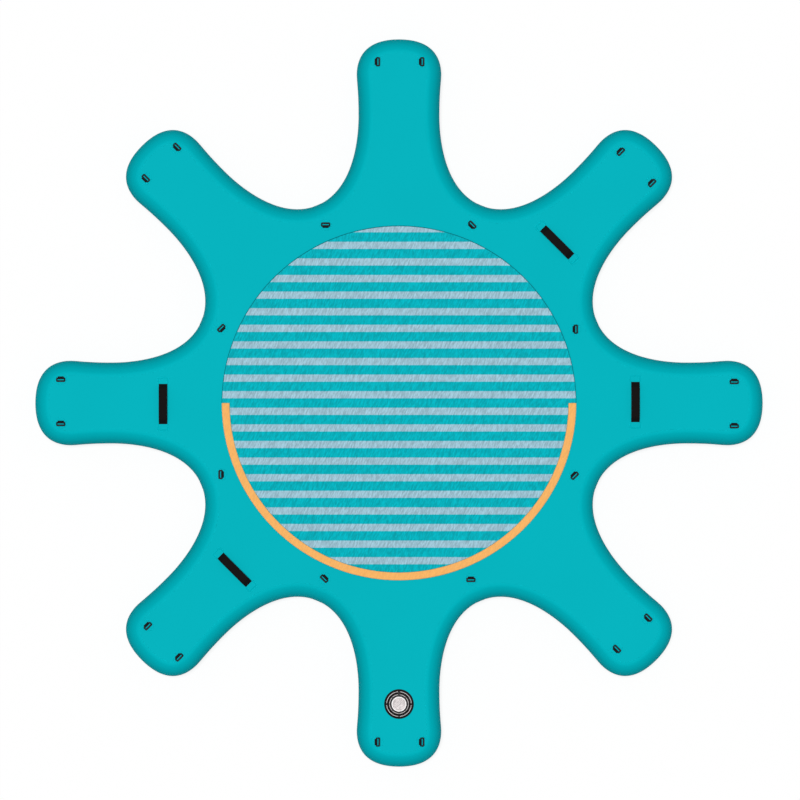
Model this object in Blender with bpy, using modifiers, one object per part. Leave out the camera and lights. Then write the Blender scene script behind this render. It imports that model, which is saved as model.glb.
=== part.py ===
"""Inflatable eight-arm yoga platform, modelled piece by piece in metres, +Z up.

The platform lies on z = 0 with its centre on the Z axis. Arm 1 points along +Y and the
others follow clockwise, seen from above, every 45 degrees. In an arm's own plan frame,
+Y runs out along the arm and +X to the right of it.
"""

import math

import bmesh
import bpy
from mathutils import Matrix, Vector

# Overall sizes
SPAN = 2.900
THICKNESS = 0.150
ARM_COUNT = 8
GAP = 0.0003

# Half of an arm's outline, from the tip round to the bottom of the bay
TIP_HANDLE = 0.138
BULGE_REACH = 1.307
BULGE_HALF_WIDTH = 0.1685
BULGE_OUTER_HANDLE = 0.067
BULGE_INNER_HANDLE = 0.020
WAIST_REACH = 1.156
WAIST_HALF_WIDTH = 0.1612
WAIST_OUTER_HANDLE = 0.085
WAIST_INNER_HANDLE = 0.020
BAY_RADIUS = 0.853
BAY_HANDLE = 0.188
TIP_STEPS = 5
WAIST_STEPS = 1
BAY_STEPS = 5

# Coated fabric of the hull
SKIN = 0.0015
SIDE_BULGE = 0.058
SIDE_STEPS = 6
FLANGE_WIDTH = 0.022
BASE_CLOTH = 0.0008
YARN_SPACING = 0.260
YARN_RADIUS = 0.0025
YARN_EDGE_MARGIN = 0.130
CORE_INSET = 0.106
CORE_VALVE_HOLE = 0.042
EMBED = 0.0002

# Deck pad
PAD_RADIUS = 0.705
PAD_THICKNESS = 0.005
PAD_STEPS = 36
BAND_WIDTH = 0.031

# D-rings, their webbing and patches
RING_LENGTH = 0.037
RING_DEPTH = 0.0175
RING_WIRE = 0.0045
RING_CORNER = 0.004
RING_CORNER_STEPS = 1
TIP_RING_OFFSET = 0.088
RING_CENTRE_TO_BAR = 0.00425
LOOP_WIDTH = 0.024
LOOP_HOLE_RADIUS = 0.0030
LOOP_OUTER_RADIUS = 0.0041
LOOP_TAIL = 0.0026
LOOP_TAIL_THICKNESS = 0.0024
RING_PATCH_RADIUS = 0.024
RING_PATCH_THICKNESS = 0.0008
RING_PATCH_SIDES = 8
PATCH_FLAT_MARGIN = 0.052
PATCH_DROP_RADIUS = 0.025

# Each arm's pair of tip rings: how far out it lies, and how far to the right of the arm's line
TIP_RINGS = {
    1: (1.357, 0.002),
    2: (1.330, 0.003),
    3: (1.333, 0.002),
    4: (1.304, -0.007),
    5: (1.348, -0.002),
    6: (1.333, -0.007),
    7: (1.345, 0.007),
    8: (1.344, 0.006),
}

# The ring inside each bay, numbered by the arm to the bay's right: how far out it lies from the
# centre, and how far to the right of the bay's line
INNER_RINGS = {
    1: (0.765, 0.001),
    2: (0.764, -0.003),
    3: (0.760, -0.003),
    4: (0.754, -0.001),
    5: (0.757, 0.004),
    6: (0.757, 0.007),
    7: (0.762, 0.008),
    8: (0.765, 0.004),
}

# Carry handles: how far out each one's middle lies on its arm, and how far to the right of its line
HANDLES = {2: (0.896, -0.007), 3: (0.940, -0.004), 6: (0.931, -0.007), 7: (0.938, -0.004)}
HANDLE_LENGTH = 0.160
HANDLE_WIDTH = 0.034
HANDLE_AXIS_HEIGHT = 0.002
SLEEVE_WALL = 0.001
GRIP_LENGTH = 0.116
GRIP_HEIGHT = 0.0190
GRIP_CROWN = 0.0025
GRIP_STEPS = 6
STRAP_THICKNESS = 0.0016
STRAP_END = 0.020
STRAP_STEPS = 4
SLOT_WIDTH = HANDLE_WIDTH - 2 * SLEEVE_WALL
SLOT_HEIGHT = STRAP_THICKNESS + 2 * GAP
STRAP_WIDTH = SLOT_WIDTH - 2 * GAP
HANDLE_PATCH_LENGTH = 0.026

# Valve, on arm 5. Heights are counted from the top panel's outer face
VALVE_ARM = 5
VALVE_REACH = 1.197
VALVE_STEPS = 20
PANEL_HOLE_RADIUS = 0.0240
SURROUND_RADIUS = 0.0590
SURROUND_THICKNESS = 0.0012
FLANGE_RADIUS = 0.0340
FLANGE_THICKNESS = 0.0030
NECK_RADIUS = 0.0230
SOCKET_RADIUS = 0.0180
BODY_DEPTH = 0.0300
FLOOR_THICKNESS = 0.0030
STEM_RADIUS = 0.0030
STEM_CLEARANCE = 0.0004
VENT_RADIUS = 0.0045
VENT_CIRCLE = 0.0112
VENT_COUNT = 4
NUT_RADIUS = 0.0330
NUT_HEIGHT = 0.0090
THREAD_CLEARANCE = 0.0004
GASKET_RADIUS = 0.0310
GASKET_THICKNESS = 0.0015
DIAPHRAGM_RADIUS = 0.0200
DIAPHRAGM_THICKNESS = 0.0020
BUTTON_RADIUS = 0.0065
BUTTON_TOP = -0.0040
BUTTON_THICKNESS = 0.0040
STEM_FOOT_RADIUS = 0.0070
STEM_FOOT_THICKNESS = 0.0025
SPRING_RADIUS = 0.0050
SPRING_WIRE = 0.0010
SPRING_TURNS = 5
SPRING_TURN_STEPS = 8
CAP_RADIUS = 0.02975
CAP_THICKNESS = 0.0044
CAP_DISH = 0.0016
CAP_RIM = 0.0050
PLUG_RADIUS = 0.0172
PLUG_WALL = 0.0030
PLUG_DEPTH = 0.0060
SEAL_RADIUS = 0.0007
SEAL_GROOVE_DEPTH = 0.0013
SEAL_BELOW_FLANGE = 0.0020
CAP_BAR = (0.042, 0.007, 0.0022)
CAP_BAR_BEARING = 45.0
LEASH_RING_RADIUS = 0.0240
LEASH_THICKNESS = 0.0015
LEASH_WIDTH = 0.009
LEASH_HINGE_REACH = 0.0380
ANCHOR_LENGTH = 0.0130

HALF_ARM_ANGLE = math.pi / ARM_COUNT
TOP = THICKNESS
CENTRE_HEIGHT = THICKNESS / 2
UNDER_TOP = TOP - SKIN - GAP
ABOVE_BOTTOM = SKIN + GAP


def srgb(red, green, blue):
    """A colour given as 0 to 255 screen values, as the linear values a shader takes."""
    shares = (value / 255 for value in (red, green, blue))
    return tuple(s / 12.92 if s <= 0.04045 else ((s + 0.055) / 1.055) ** 2.4 for s in shares)


FINISHES = {
    "hull_teal": (srgb(0, 179, 190), 0.42, 0.0),
    "side_teal": (srgb(0, 170, 181), 0.42, 0.0),
    "inner_fabric": (srgb(214, 220, 222), 0.80, 0.0),
    "pad_teal": (srgb(25, 178, 187), 0.85, 0.0),
    "pad_orange": (srgb(247, 180, 104), 0.85, 0.0),
    "black_webbing": (srgb(24, 24, 26), 0.75, 0.0),
    "black_neoprene": (srgb(28, 25, 27), 0.80, 0.0),
    "black_plastic": (srgb(22, 22, 24), 0.40, 0.0),
    "black_rubber": (srgb(20, 20, 22), 0.60, 0.0),
    "black_ring": (srgb(16, 18, 20), 0.35, 0.0),
    "cap_grey": (srgb(226, 222, 224), 0.40, 0.0),
    "spring_steel": (srgb(190, 192, 195), 0.30, 1.0),
}


def clear_scene():
    """Empties the file of objects, so that the script can be run again."""
    for item in list(bpy.data.objects):
        bpy.data.objects.remove(item, do_unlink=True)


def make_collections():
    """One collection for the parts and one for the cutters."""
    made = []
    for name in ("inflatable_yoga_platform", "cutters"):
        group = bpy.data.collections.new(name)
        bpy.context.scene.collection.children.link(group)
        made.append(group)
    return made


def make_materials():
    """One Principled material for each finish."""
    made = {}
    for name, (colour, roughness, metallic) in FINISHES.items():
        material = bpy.data.materials.new(name)
        material.use_nodes = True
        shader = material.node_tree.nodes["Principled BSDF"]
        shader.inputs["Base Color"].default_value = (*colour, 1.0)
        shader.inputs["Roughness"].default_value = roughness
        shader.inputs["Metallic"].default_value = metallic
        made[name] = material
    return made


clear_scene()
PARTS, CUTTERS = make_collections()
MATERIALS = make_materials()


def add_part(name, data, finish, place=None):
    """Links a mesh or curve as the named part, in its finish and at its place."""
    part = bpy.data.objects.new(name, data)
    PARTS.objects.link(part)
    if not data.materials:
        data.materials.append(MATERIALS[finish])
    if place is not None:
        part.matrix_world = place
    return part


def mesh_from(name, shape):
    """A mesh made from a bmesh, which is freed."""
    mesh = bpy.data.meshes.new(name)
    shape.to_mesh(mesh)
    shape.free()
    return mesh


def thicken(part, thickness, offset):
    """Gives an open surface a wall: offset 1 grows it outward and -1 inward."""
    wall = part.modifiers.new("wall", "SOLIDIFY")
    wall.thickness = thickness
    wall.offset = offset
    wall.use_even_offset = True


def combine(part, name, shape, operation, place=None):
    """Joins a closed shape to a part with a UNION, or cuts it away with a DIFFERENCE."""
    tool = bpy.data.objects.new(name, mesh_from(name, shape))
    CUTTERS.objects.link(tool)
    if place is not None:
        tool.matrix_world = place
    tool.hide_render = True
    tool.display_type = "WIRE"
    step = part.modifiers.new(name, "BOOLEAN")
    step.operation = operation
    step.solver = "EXACT"
    step.object = tool


def bearing_turn(bearing):
    """Turns +Y to a bearing in degrees, clockwise from above."""
    return Matrix.Rotation(-math.radians(bearing), 4, "Z")


def arm_bearing(arm):
    """The bearing of an arm, counted from 1 at +Y."""
    return (arm - 1) * 360 / ARM_COUNT


def arm_place(arm, reach, offset=0.0, height=TOP):
    """A frame on an arm: reach metres out, offset metres to its right, at a height."""
    return bearing_turn(arm_bearing(arm)) @ Matrix.Translation((offset, reach, height))


def cubic(start, leave, arrive, end, t):
    """A point of a cubic curve at t, from 0 to 1."""
    s = 1 - t
    return s**3 * start + 3 * s * s * t * leave + 3 * s * t * t * arrive + t**3 * end


def even_stations(controls, steps, fine=240):
    """Points at even distances along a cubic, each with its tangent."""
    dense = [cubic(*controls, i / fine) for i in range(fine + 1)]
    run = [0.0]
    for a, b in zip(dense, dense[1:]):
        run.append(run[-1] + (b - a).length)
    stations = []
    for step in range(steps + 1):
        goal = run[-1] * step / steps
        i = min(range(fine + 1), key=lambda k: abs(run[k] - goal))
        if i == 0:
            tangent = controls[1] - controls[0]
        elif i == fine:
            tangent = controls[3] - controls[2]
        else:
            tangent = dense[i + 1] - dense[i - 1]
        stations.append((dense[i], tangent.normalized()))
    return stations


def half_arm_outline():
    """Outline of the right half of arm 1, from the tip to the bottom of the bay.

    Each station is a plan point and the unit vector that points into the hull.
    """
    tip = Vector((0, SPAN / 2))
    bulge = Vector((BULGE_HALF_WIDTH, BULGE_REACH))
    waist = Vector((WAIST_HALF_WIDTH, WAIST_REACH))
    bay = BAY_RADIUS * Vector((math.sin(HALF_ARM_ANGLE), math.cos(HALF_ARM_ANGLE)))
    along_bay = BAY_HANDLE * Vector((-math.cos(HALF_ARM_ANGLE), math.sin(HALF_ARM_ANGLE)))
    across = Vector((1, 0))
    out = Vector((0, 1))
    stretches = (
        ((tip, tip + TIP_HANDLE * across, bulge + BULGE_OUTER_HANDLE * out, bulge), TIP_STEPS),
        ((bulge, bulge - BULGE_INNER_HANDLE * out, waist + WAIST_OUTER_HANDLE * out, waist), WAIST_STEPS),
        ((waist, waist - WAIST_INNER_HANDLE * out, bay + along_bay, bay), BAY_STEPS),
    )
    outline = []
    for controls, steps in stretches:
        stations = even_stations(controls, steps)
        outline += stations[1:] if outline else stations
    return [(point, Vector((tangent.y, -tangent.x))) for point, tangent in outline]


def arm_outline():
    """Outline of arm 1 from the bay on its left, round the tip, to the bay on its right."""
    right = half_arm_outline()
    left = [(Vector((-p.x, p.y)), Vector((-n.x, n.y))) for p, n in reversed(right[1:])]
    return left + right


ARM_OUTLINE = arm_outline()


def star_outline(inset):
    """Plan points round the whole platform, moved into it by inset."""
    points = []
    for arm in range(1, ARM_COUNT + 1):
        turn = bearing_turn(arm_bearing(arm)).to_2x2()
        points += [turn @ (point + inward * inset) for point, inward in ARM_OUTLINE[:-1]]
    return points


STAR = star_outline(0.0)


def edge_distance(point):
    """Distance from a plan point to the platform's outline."""
    nearest = math.inf
    for a, b in zip(STAR, STAR[1:] + STAR[:1]):
        side = b - a
        share = max(0.0, min(1.0, (point - a).dot(side) / side.length_squared))
        nearest = min(nearest, (a + side * share - point).length)
    return nearest


def inside_star(point):
    """Whether a plan point lies within the outline, by counting crossings."""
    inside = False
    for a, b in zip(STAR, STAR[1:] + STAR[:1]):
        if (a.y > point.y) != (b.y > point.y):
            if point.x < a.x + (b.x - a.x) * (point.y - a.y) / (b.y - a.y):
                inside = not inside
    return inside


def flat_curve(name, outlines, thickness):
    """A plate with its middle on z = 0, from closed plan outlines: the first is its edge."""
    curve = bpy.data.curves.new(name, "CURVE")
    curve.dimensions = "2D"
    curve.fill_mode = "BOTH"
    curve.extrude = thickness / 2
    for outline in outlines:
        spline = curve.splines.new("POLY")
        spline.points.add(len(outline) - 1)
        for slot, (x, y) in zip(spline.points, outline):
            slot.co = (x, y, 0, 1)
        spline.use_cyclic_u = True
    return curve


def mesh_of_curve(curve):
    """The welded mesh of a curve, which is removed."""
    holder = bpy.data.objects.new(curve.name, curve)
    CUTTERS.objects.link(holder)
    shown = holder.evaluated_get(bpy.context.evaluated_depsgraph_get())
    shape = bmesh.new()
    raw = bpy.data.meshes.new_from_object(shown)
    shape.from_mesh(raw)
    bmesh.ops.remove_doubles(shape, verts=shape.verts, dist=1e-6)
    bpy.data.objects.remove(holder)
    bpy.data.curves.remove(curve)
    bpy.data.meshes.remove(raw)
    return shape


def arc(radius, start, end, steps):
    """Plan points on an arc about the origin, angles in degrees from +X."""
    points = []
    for i in range(steps + 1):
        angle = math.radians(start + (end - start) * i / steps)
        points.append((radius * math.cos(angle), radius * math.sin(angle)))
    return points


def circle(radius, steps, centre=(0.0, 0.0)):
    """Plan points round a circle."""
    return [(x + centre[0], y + centre[1]) for x, y in arc(radius, 0, 360, steps)[:-1]]


def tube(name, route, diameter, closed, resolution=1):
    """A round wire along a route of points."""
    curve = bpy.data.curves.new(name, "CURVE")
    curve.dimensions = "3D"
    curve.bevel_depth = diameter / 2
    curve.bevel_resolution = resolution
    curve.use_fill_caps = True
    spline = curve.splines.new("POLY")
    spline.points.add(len(route) - 1)
    for slot, point in zip(spline.points, route):
        slot.co = (*point, 1)
    spline.use_cyclic_u = closed
    return curve


def turned(name, profile, finish, place, ring=True):
    """A turned piece: a profile of (radius, height) run down its outer side.

    A ring's profile closes on itself; any other starts and ends on the axis.
    """
    mesh = bpy.data.meshes.new(name)
    corners = [(radius, 0.0, height) for radius, height in profile]
    links = [(i, i + 1) for i in range(len(corners) - 1)]
    if ring:
        links.append((len(corners) - 1, 0))
    mesh.from_pydata(corners, links, [])
    part = add_part(name, mesh, finish, place)
    screw = part.modifiers.new("turn", "SCREW")
    screw.steps = VALVE_STEPS
    screw.render_steps = VALVE_STEPS
    screw.use_merge_vertices = True
    screw.merge_threshold = 0.00001
    return part


def make_panels():
    """Top and bottom panels, both flat to the line where the side wall starts to curve."""
    edge = [tuple(point) for point in star_outline(SIDE_BULGE)]
    centre = arm_place(VALVE_ARM, VALVE_REACH).translation
    hole = circle(PANEL_HOLE_RADIUS, VALVE_STEPS, centre.xy)
    plate = mesh_of_curve(flat_curve("top_panel", [edge, hole], SKIN))
    middle = Matrix.Translation((0, 0, TOP - SKIN / 2))
    top = add_part("top_panel", mesh_from("top_panel", plate), "hull_teal", middle)
    combine(top, "ring_patches", ring_patches(), "UNION")
    combine(top, "ring_webbing", ring_webbing(), "UNION")
    combine(top, "handle_patches", handle_patches(), "UNION")
    bottom = flat_curve("bottom_panel", [edge], SKIN)
    add_part("bottom_panel", bottom, "side_teal", Matrix.Translation((0, 0, SKIN / 2)))


def side_profile():
    """Insets and heights across a side strip, from its top flange to its bottom flange."""
    rise = UNDER_TOP - CENTRE_HEIGHT
    inner_edge = SIDE_BULGE + FLANGE_WIDTH
    points = [(inner_edge, UNDER_TOP)]
    for step in range(SIDE_STEPS + 1):
        angle = math.pi / 2 - math.pi * step / SIDE_STEPS
        points.append((SIDE_BULGE * (1 - math.cos(angle)), CENTRE_HEIGHT + rise * math.sin(angle)))
    points.append((inner_edge, ABOVE_BOTTOM))
    return points


def make_side_strips():
    """Eight strips, one round each arm, that meet at the bottoms of the bays."""
    profile = side_profile()
    for arm in range(1, ARM_COUNT + 1):
        shape = bmesh.new()
        rows = []
        for number, (point, inward) in enumerate(ARM_OUTLINE):
            along = Vector((-inward.y, inward.x))
            if number == 0:
                point = point + along * GAP / 2
            if number == len(ARM_OUTLINE) - 1:
                point = point - along * GAP / 2
            places = [(*(point + inward * inset), height) for inset, height in profile]
            rows.append([shape.verts.new(place) for place in places])
        for left, right in zip(rows, rows[1:]):
            for i in range(len(profile) - 1):
                face = shape.faces.new((left[i], right[i], right[i + 1], left[i + 1]))
                face.smooth = True
        name = f"side_strip_{arm}"
        strip = add_part(name, mesh_from(name, shape), "side_teal", bearing_turn(arm_bearing(arm)))
        thicken(strip, SKIN, -1)


def make_core():
    """Drop-stitch core: two woven sheets tied together by bundles of yarn."""
    edge = [tuple(point) for point in star_outline(CORE_INSET)[::2]]
    valve = arm_place(VALVE_ARM, VALVE_REACH).translation.xy
    hole = circle(CORE_VALVE_HOLE, VALVE_STEPS, valve)
    sheets = mesh_of_curve(flat_curve("sheets", [edge, hole], BASE_CLOTH))
    height = UNDER_TOP - ABOVE_BOTTOM - BASE_CLOTH
    copied = bmesh.ops.duplicate(sheets, geom=sheets.faces)["geom"]
    upper = [item for item in copied if isinstance(item, bmesh.types.BMVert)]
    bmesh.ops.translate(sheets, vec=(0, 0, height), verts=upper)
    middle = Matrix.Translation((0, 0, CENTRE_HEIGHT - height / 2))
    name = "drop_stitch_core"
    core = add_part(name, mesh_from(name, sheets), "inner_fabric", middle)
    yarns = bmesh.new()
    row_height = YARN_SPACING * math.sqrt(3) / 2
    rows = int(SPAN / 2 / row_height)
    columns = int(SPAN / 2 / YARN_SPACING)
    for row in range(-rows, rows + 1):
        for column in range(-columns, columns + 1):
            shift = YARN_SPACING / 2 * (row % 2)
            spot = Vector((column * YARN_SPACING + shift, row * row_height))
            near_edge = not inside_star(spot) or edge_distance(spot) < YARN_EDGE_MARGIN
            if near_edge or (spot - valve).length < YARN_EDGE_MARGIN:
                continue
            bmesh.ops.create_cone(
                yarns,
                cap_ends=True,
                segments=3,
                radius1=YARN_RADIUS,
                radius2=YARN_RADIUS,
                depth=height,
                matrix=Matrix.Translation((*spot, CENTRE_HEIGHT)),
            )
    combine(core, "yarns", yarns, "UNION")


def make_deck_pad():
    """Round foam pad whose lower half is cut back for the coloured edge band."""
    middle = TOP + GAP + PAD_THICKNESS / 2
    place = Matrix.Translation((0, 0, middle))
    cut_back = PAD_RADIUS - BAND_WIDTH - GAP
    upper = [(x, y + GAP) for x, y in arc(PAD_RADIUS, 0, 180, PAD_STEPS)]
    lower = arc(cut_back, 180, 360, PAD_STEPS)
    pad = flat_curve("deck_pad", [upper + lower], PAD_THICKNESS)
    add_part("deck_pad", pad, "pad_teal", place)
    outer = arc(PAD_RADIUS, 180, 360, PAD_STEPS)
    inner = arc(PAD_RADIUS - BAND_WIDTH, 360, 180, PAD_STEPS)
    band = flat_curve("pad_accent_band", [outer + inner], PAD_THICKNESS)
    add_part("pad_accent_band", band, "pad_orange", place)


def ring_spots():
    """Name, middle and facing of each D-ring: the ring lies from its bar towards its facing."""
    spots = []
    for arm in range(1, ARM_COUNT + 1):
        bearing = arm_bearing(arm)
        facing = bearing + 90 if arm in (1, 2, 3, 8) else bearing - 90
        reach, shift = TIP_RINGS[arm]
        for letter, side in (("a", -1), ("b", 1)):
            middle = arm_place(arm, reach, shift + side * TIP_RING_OFFSET).translation
            spots.append((f"d_ring_tip_{arm}{letter}", middle, facing))
    for number in range(1, ARM_COUNT + 1):
        bearing = arm_bearing(number) - math.degrees(HALF_ARM_ANGLE)
        reach, shift = INNER_RINGS[number]
        middle = bearing_turn(bearing) @ Vector((shift, reach, TOP))
        spots.append((f"d_ring_inner_{number}", middle, arm_bearing(number)))
    return spots


def bar_place(middle, facing):
    """The frame on a D-ring's bar: X along the bar and Y towards the free side."""
    turn = bearing_turn(facing)
    height = RING_PATCH_THICKNESS + LOOP_OUTER_RADIUS - EMBED
    return Matrix.Translation(middle) @ turn @ Matrix.Translation((0, -RING_CENTRE_TO_BAR, height))


def make_d_rings():
    """D-rings that lie down, each with its origin on the bar that it swings about."""
    half = (RING_LENGTH - RING_WIRE) / 2 - RING_CORNER
    far = RING_DEPTH - RING_WIRE
    centres = (
        (half, RING_CORNER, -90),
        (half, far - RING_CORNER, 0),
        (-half, far - RING_CORNER, 90),
        (-half, RING_CORNER, 180),
    )
    route = []
    for x, y, start in centres:
        for dx, dy in arc(RING_CORNER, start, start + 90, RING_CORNER_STEPS):
            route.append((x + dx, y + dy, 0.0))
    wire = tube("d_ring", route, RING_WIRE, closed=True)
    drop = LOOP_OUTER_RADIUS - EMBED - GAP - RING_WIRE / 2
    lean = Matrix.Rotation(-math.asin(drop / far), 4, "X")
    for name, middle, facing in ring_spots():
        add_part(name, wire, "black_ring", bar_place(middle, facing) @ lean)


def webbing_loop():
    """One loop of webbing round a bar along X, with the tail that runs back from it."""
    bottom = -LOOP_OUTER_RADIUS
    tail_end = -LOOP_OUTER_RADIUS - LOOP_TAIL
    outer = arc(LOOP_OUTER_RADIUS, -90, 180, 5)
    tail = [
        (-LOOP_OUTER_RADIUS, bottom + LOOP_TAIL_THICKNESS),
        (tail_end, bottom + LOOP_TAIL_THICKNESS),
        (tail_end, bottom),
    ]
    curve = flat_curve("loop", [outer + tail, circle(LOOP_HOLE_RADIUS, 6)], LOOP_WIDTH)
    return mesh_of_curve(curve)


def ring_webbing():
    """All the webbing loops, each round the bar of its own D-ring."""
    loop = mesh_from("loop", webbing_loop())
    stand = Matrix(((0, 0, 1, 0), (1, 0, 0, 0), (0, 1, 0, 0), (0, 0, 0, 1)))
    group = bmesh.new()
    for _, middle, facing in ring_spots():
        before = len(group.verts)
        group.from_mesh(loop)
        group.verts.ensure_lookup_table()
        bmesh.ops.transform(group, matrix=bar_place(middle, facing) @ stand, verts=group.verts[before:])
    bpy.data.meshes.remove(loop)
    return group


def patch_foot(point):
    """Height of a patch's underside: sunk into the panel, then down over its edge."""
    beyond = max(0.0, PATCH_FLAT_MARGIN - edge_distance(point))
    return TOP - EMBED - beyond**2 / (2 * PATCH_DROP_RADIUS)


def ring_patches():
    """Round patches that bond the webbing, bent down where they pass the panel's edge."""
    group = bmesh.new()
    for _, middle, _ in ring_spots():
        disc = bmesh.ops.create_circle(
            group,
            cap_ends=True,
            cap_tris=True,
            segments=RING_PATCH_SIDES,
            radius=RING_PATCH_RADIUS,
            matrix=Matrix.Translation(middle),
        )
        if edge_distance(middle.xy) < PATCH_FLAT_MARGIN + RING_PATCH_RADIUS:
            faces = list({face for vert in disc["verts"] for face in vert.link_faces})
            bmesh.ops.inset_region(group, faces=faces, thickness=RING_PATCH_RADIUS / 2)
    for vert in group.verts:
        vert.co.z = patch_foot(vert.co.xy)
    raised = bmesh.ops.extrude_face_region(group, geom=group.faces, use_keep_orig=True)["geom"]
    lifted = [item for item in raised if isinstance(item, bmesh.types.BMVert)]
    bmesh.ops.translate(group, vec=(0, 0, RING_PATCH_THICKNESS + EMBED), verts=lifted)
    bmesh.ops.recalc_face_normals(group, faces=group.faces)
    return group


def handle_patches():
    """Channels bonded over the ends of the handles' straps, two to a handle."""
    side = HANDLE_WIDTH / 2
    slot = SLOT_WIDTH / 2
    outline = [
        (-side, -EMBED),
        (-slot, -EMBED),
        (-slot, SLOT_HEIGHT),
        (slot, SLOT_HEIGHT),
        (slot, -EMBED),
        (side, -EMBED),
        (side, SLOT_HEIGHT + SLEEVE_WALL),
        (-side, SLOT_HEIGHT + SLEEVE_WALL),
    ]
    curve = flat_curve("handle_patch", [outline], HANDLE_PATCH_LENGTH)
    channel = mesh_from("handle_patch", mesh_of_curve(curve))
    stand = Matrix(((0, 0, 1, 0), (1, 0, 0, 0), (0, 1, 0, 0), (0, 0, 0, 1)))
    middle = HANDLE_LENGTH / 2 + HANDLE_PATCH_LENGTH / 2
    group = bmesh.new()
    for arm, (reach, shift) in HANDLES.items():
        for offset in (-middle, middle):
            before = len(group.verts)
            group.from_mesh(channel)
            group.verts.ensure_lookup_table()
            spot = arm_place(arm, reach, shift + offset) @ stand
            bmesh.ops.transform(group, matrix=spot, verts=group.verts[before:])
    bpy.data.meshes.remove(channel)
    return group


def ribbon(profile, width):
    """An open strip: a profile of (x, z) points drawn out across Y."""
    shape = bmesh.new()
    verts = [shape.verts.new((x, -width / 2, z)) for x, z in profile]
    edges = [shape.edges.new(pair) for pair in zip(verts, verts[1:])]
    drawn = bmesh.ops.extrude_edge_only(shape, edges=edges)
    moved = [item for item in drawn["geom"] if isinstance(item, bmesh.types.BMVert)]
    bmesh.ops.translate(shape, vec=(0, width, 0), verts=moved)
    bmesh.ops.recalc_face_normals(shape, faces=shape.faces)
    return shape


def sleeve(profile, width, height):
    """An open tube of rectangular section along a profile of (x, z) points."""
    shape = bmesh.new()
    rings = []
    for x, z in profile:
        corners = []
        for across, up in ((-1, -1), (1, -1), (1, 1), (-1, 1)):
            corners.append(shape.verts.new((x, across * width / 2, z + up * height / 2)))
        rings.append(corners)
    for left, right in zip(rings, rings[1:]):
        for i in range(4):
            j = (i + 1) % 4
            shape.faces.new((left[i], left[j], right[j], right[i]))
    return shape


def grip_profile():
    """Middle line of a grip, crowned towards its centre."""
    half = GRIP_LENGTH / 2
    points = []
    for step in range(GRIP_STEPS + 1):
        x = -half + GRIP_LENGTH * step / GRIP_STEPS
        points.append((x, GRIP_HEIGHT + GRIP_CROWN * math.cos(math.pi / 2 * x / half)))
    return points


def strap_profile():
    """Middle line of a strap, from inside one patch, through the grip, into the other."""
    low = SLOT_HEIGHT / 2
    foot = HANDLE_LENGTH / 2
    head = GRIP_LENGTH / 2 + GAP
    rise = [(foot + STRAP_END, low)]
    for step in range(STRAP_STEPS + 1):
        share = step / STRAP_STEPS
        blend = share * share * (3 - 2 * share)
        rise.append((foot + (head - foot) * share, low + (GRIP_HEIGHT - low) * blend))
    return [(-x, z) for x, z in rise] + grip_profile()[1:-1] + rise[::-1]


def make_handles():
    """Carry handles: a padded sleeve round a strap on each of four arms."""
    axis = Matrix.Translation((0, 0, HANDLE_AXIS_HEIGHT))
    for arm, (reach, shift) in HANDLES.items():
        place = arm_place(arm, reach, shift)
        name = f"handle_grip_{arm}"
        grip = sleeve(grip_profile(), SLOT_WIDTH, SLOT_HEIGHT)
        bmesh.ops.transform(grip, matrix=axis.inverted(), verts=grip.verts)
        thicken(add_part(name, mesh_from(name, grip), "black_neoprene", place @ axis), SLEEVE_WALL, 1)
        name = f"handle_strap_{arm}"
        strap = ribbon(strap_profile(), STRAP_WIDTH)
        thicken(add_part(name, mesh_from(name, strap), "black_webbing", place), STRAP_THICKNESS, 0)


VALVE_PLACE = arm_place(VALVE_ARM, VALVE_REACH) @ Matrix.Rotation(math.pi, 4, "Z")
SURROUND_TOP = GAP + SURROUND_THICKNESS
FLANGE_FOOT = SURROUND_TOP + GAP
FLANGE_TOP = FLANGE_FOOT + FLANGE_THICKNESS
LEASH_FOOT = FLANGE_TOP + GAP
CAP_FOOT = LEASH_FOOT + LEASH_THICKNESS + GAP
CAP_TOP = CAP_FOOT + CAP_THICKNESS


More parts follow.
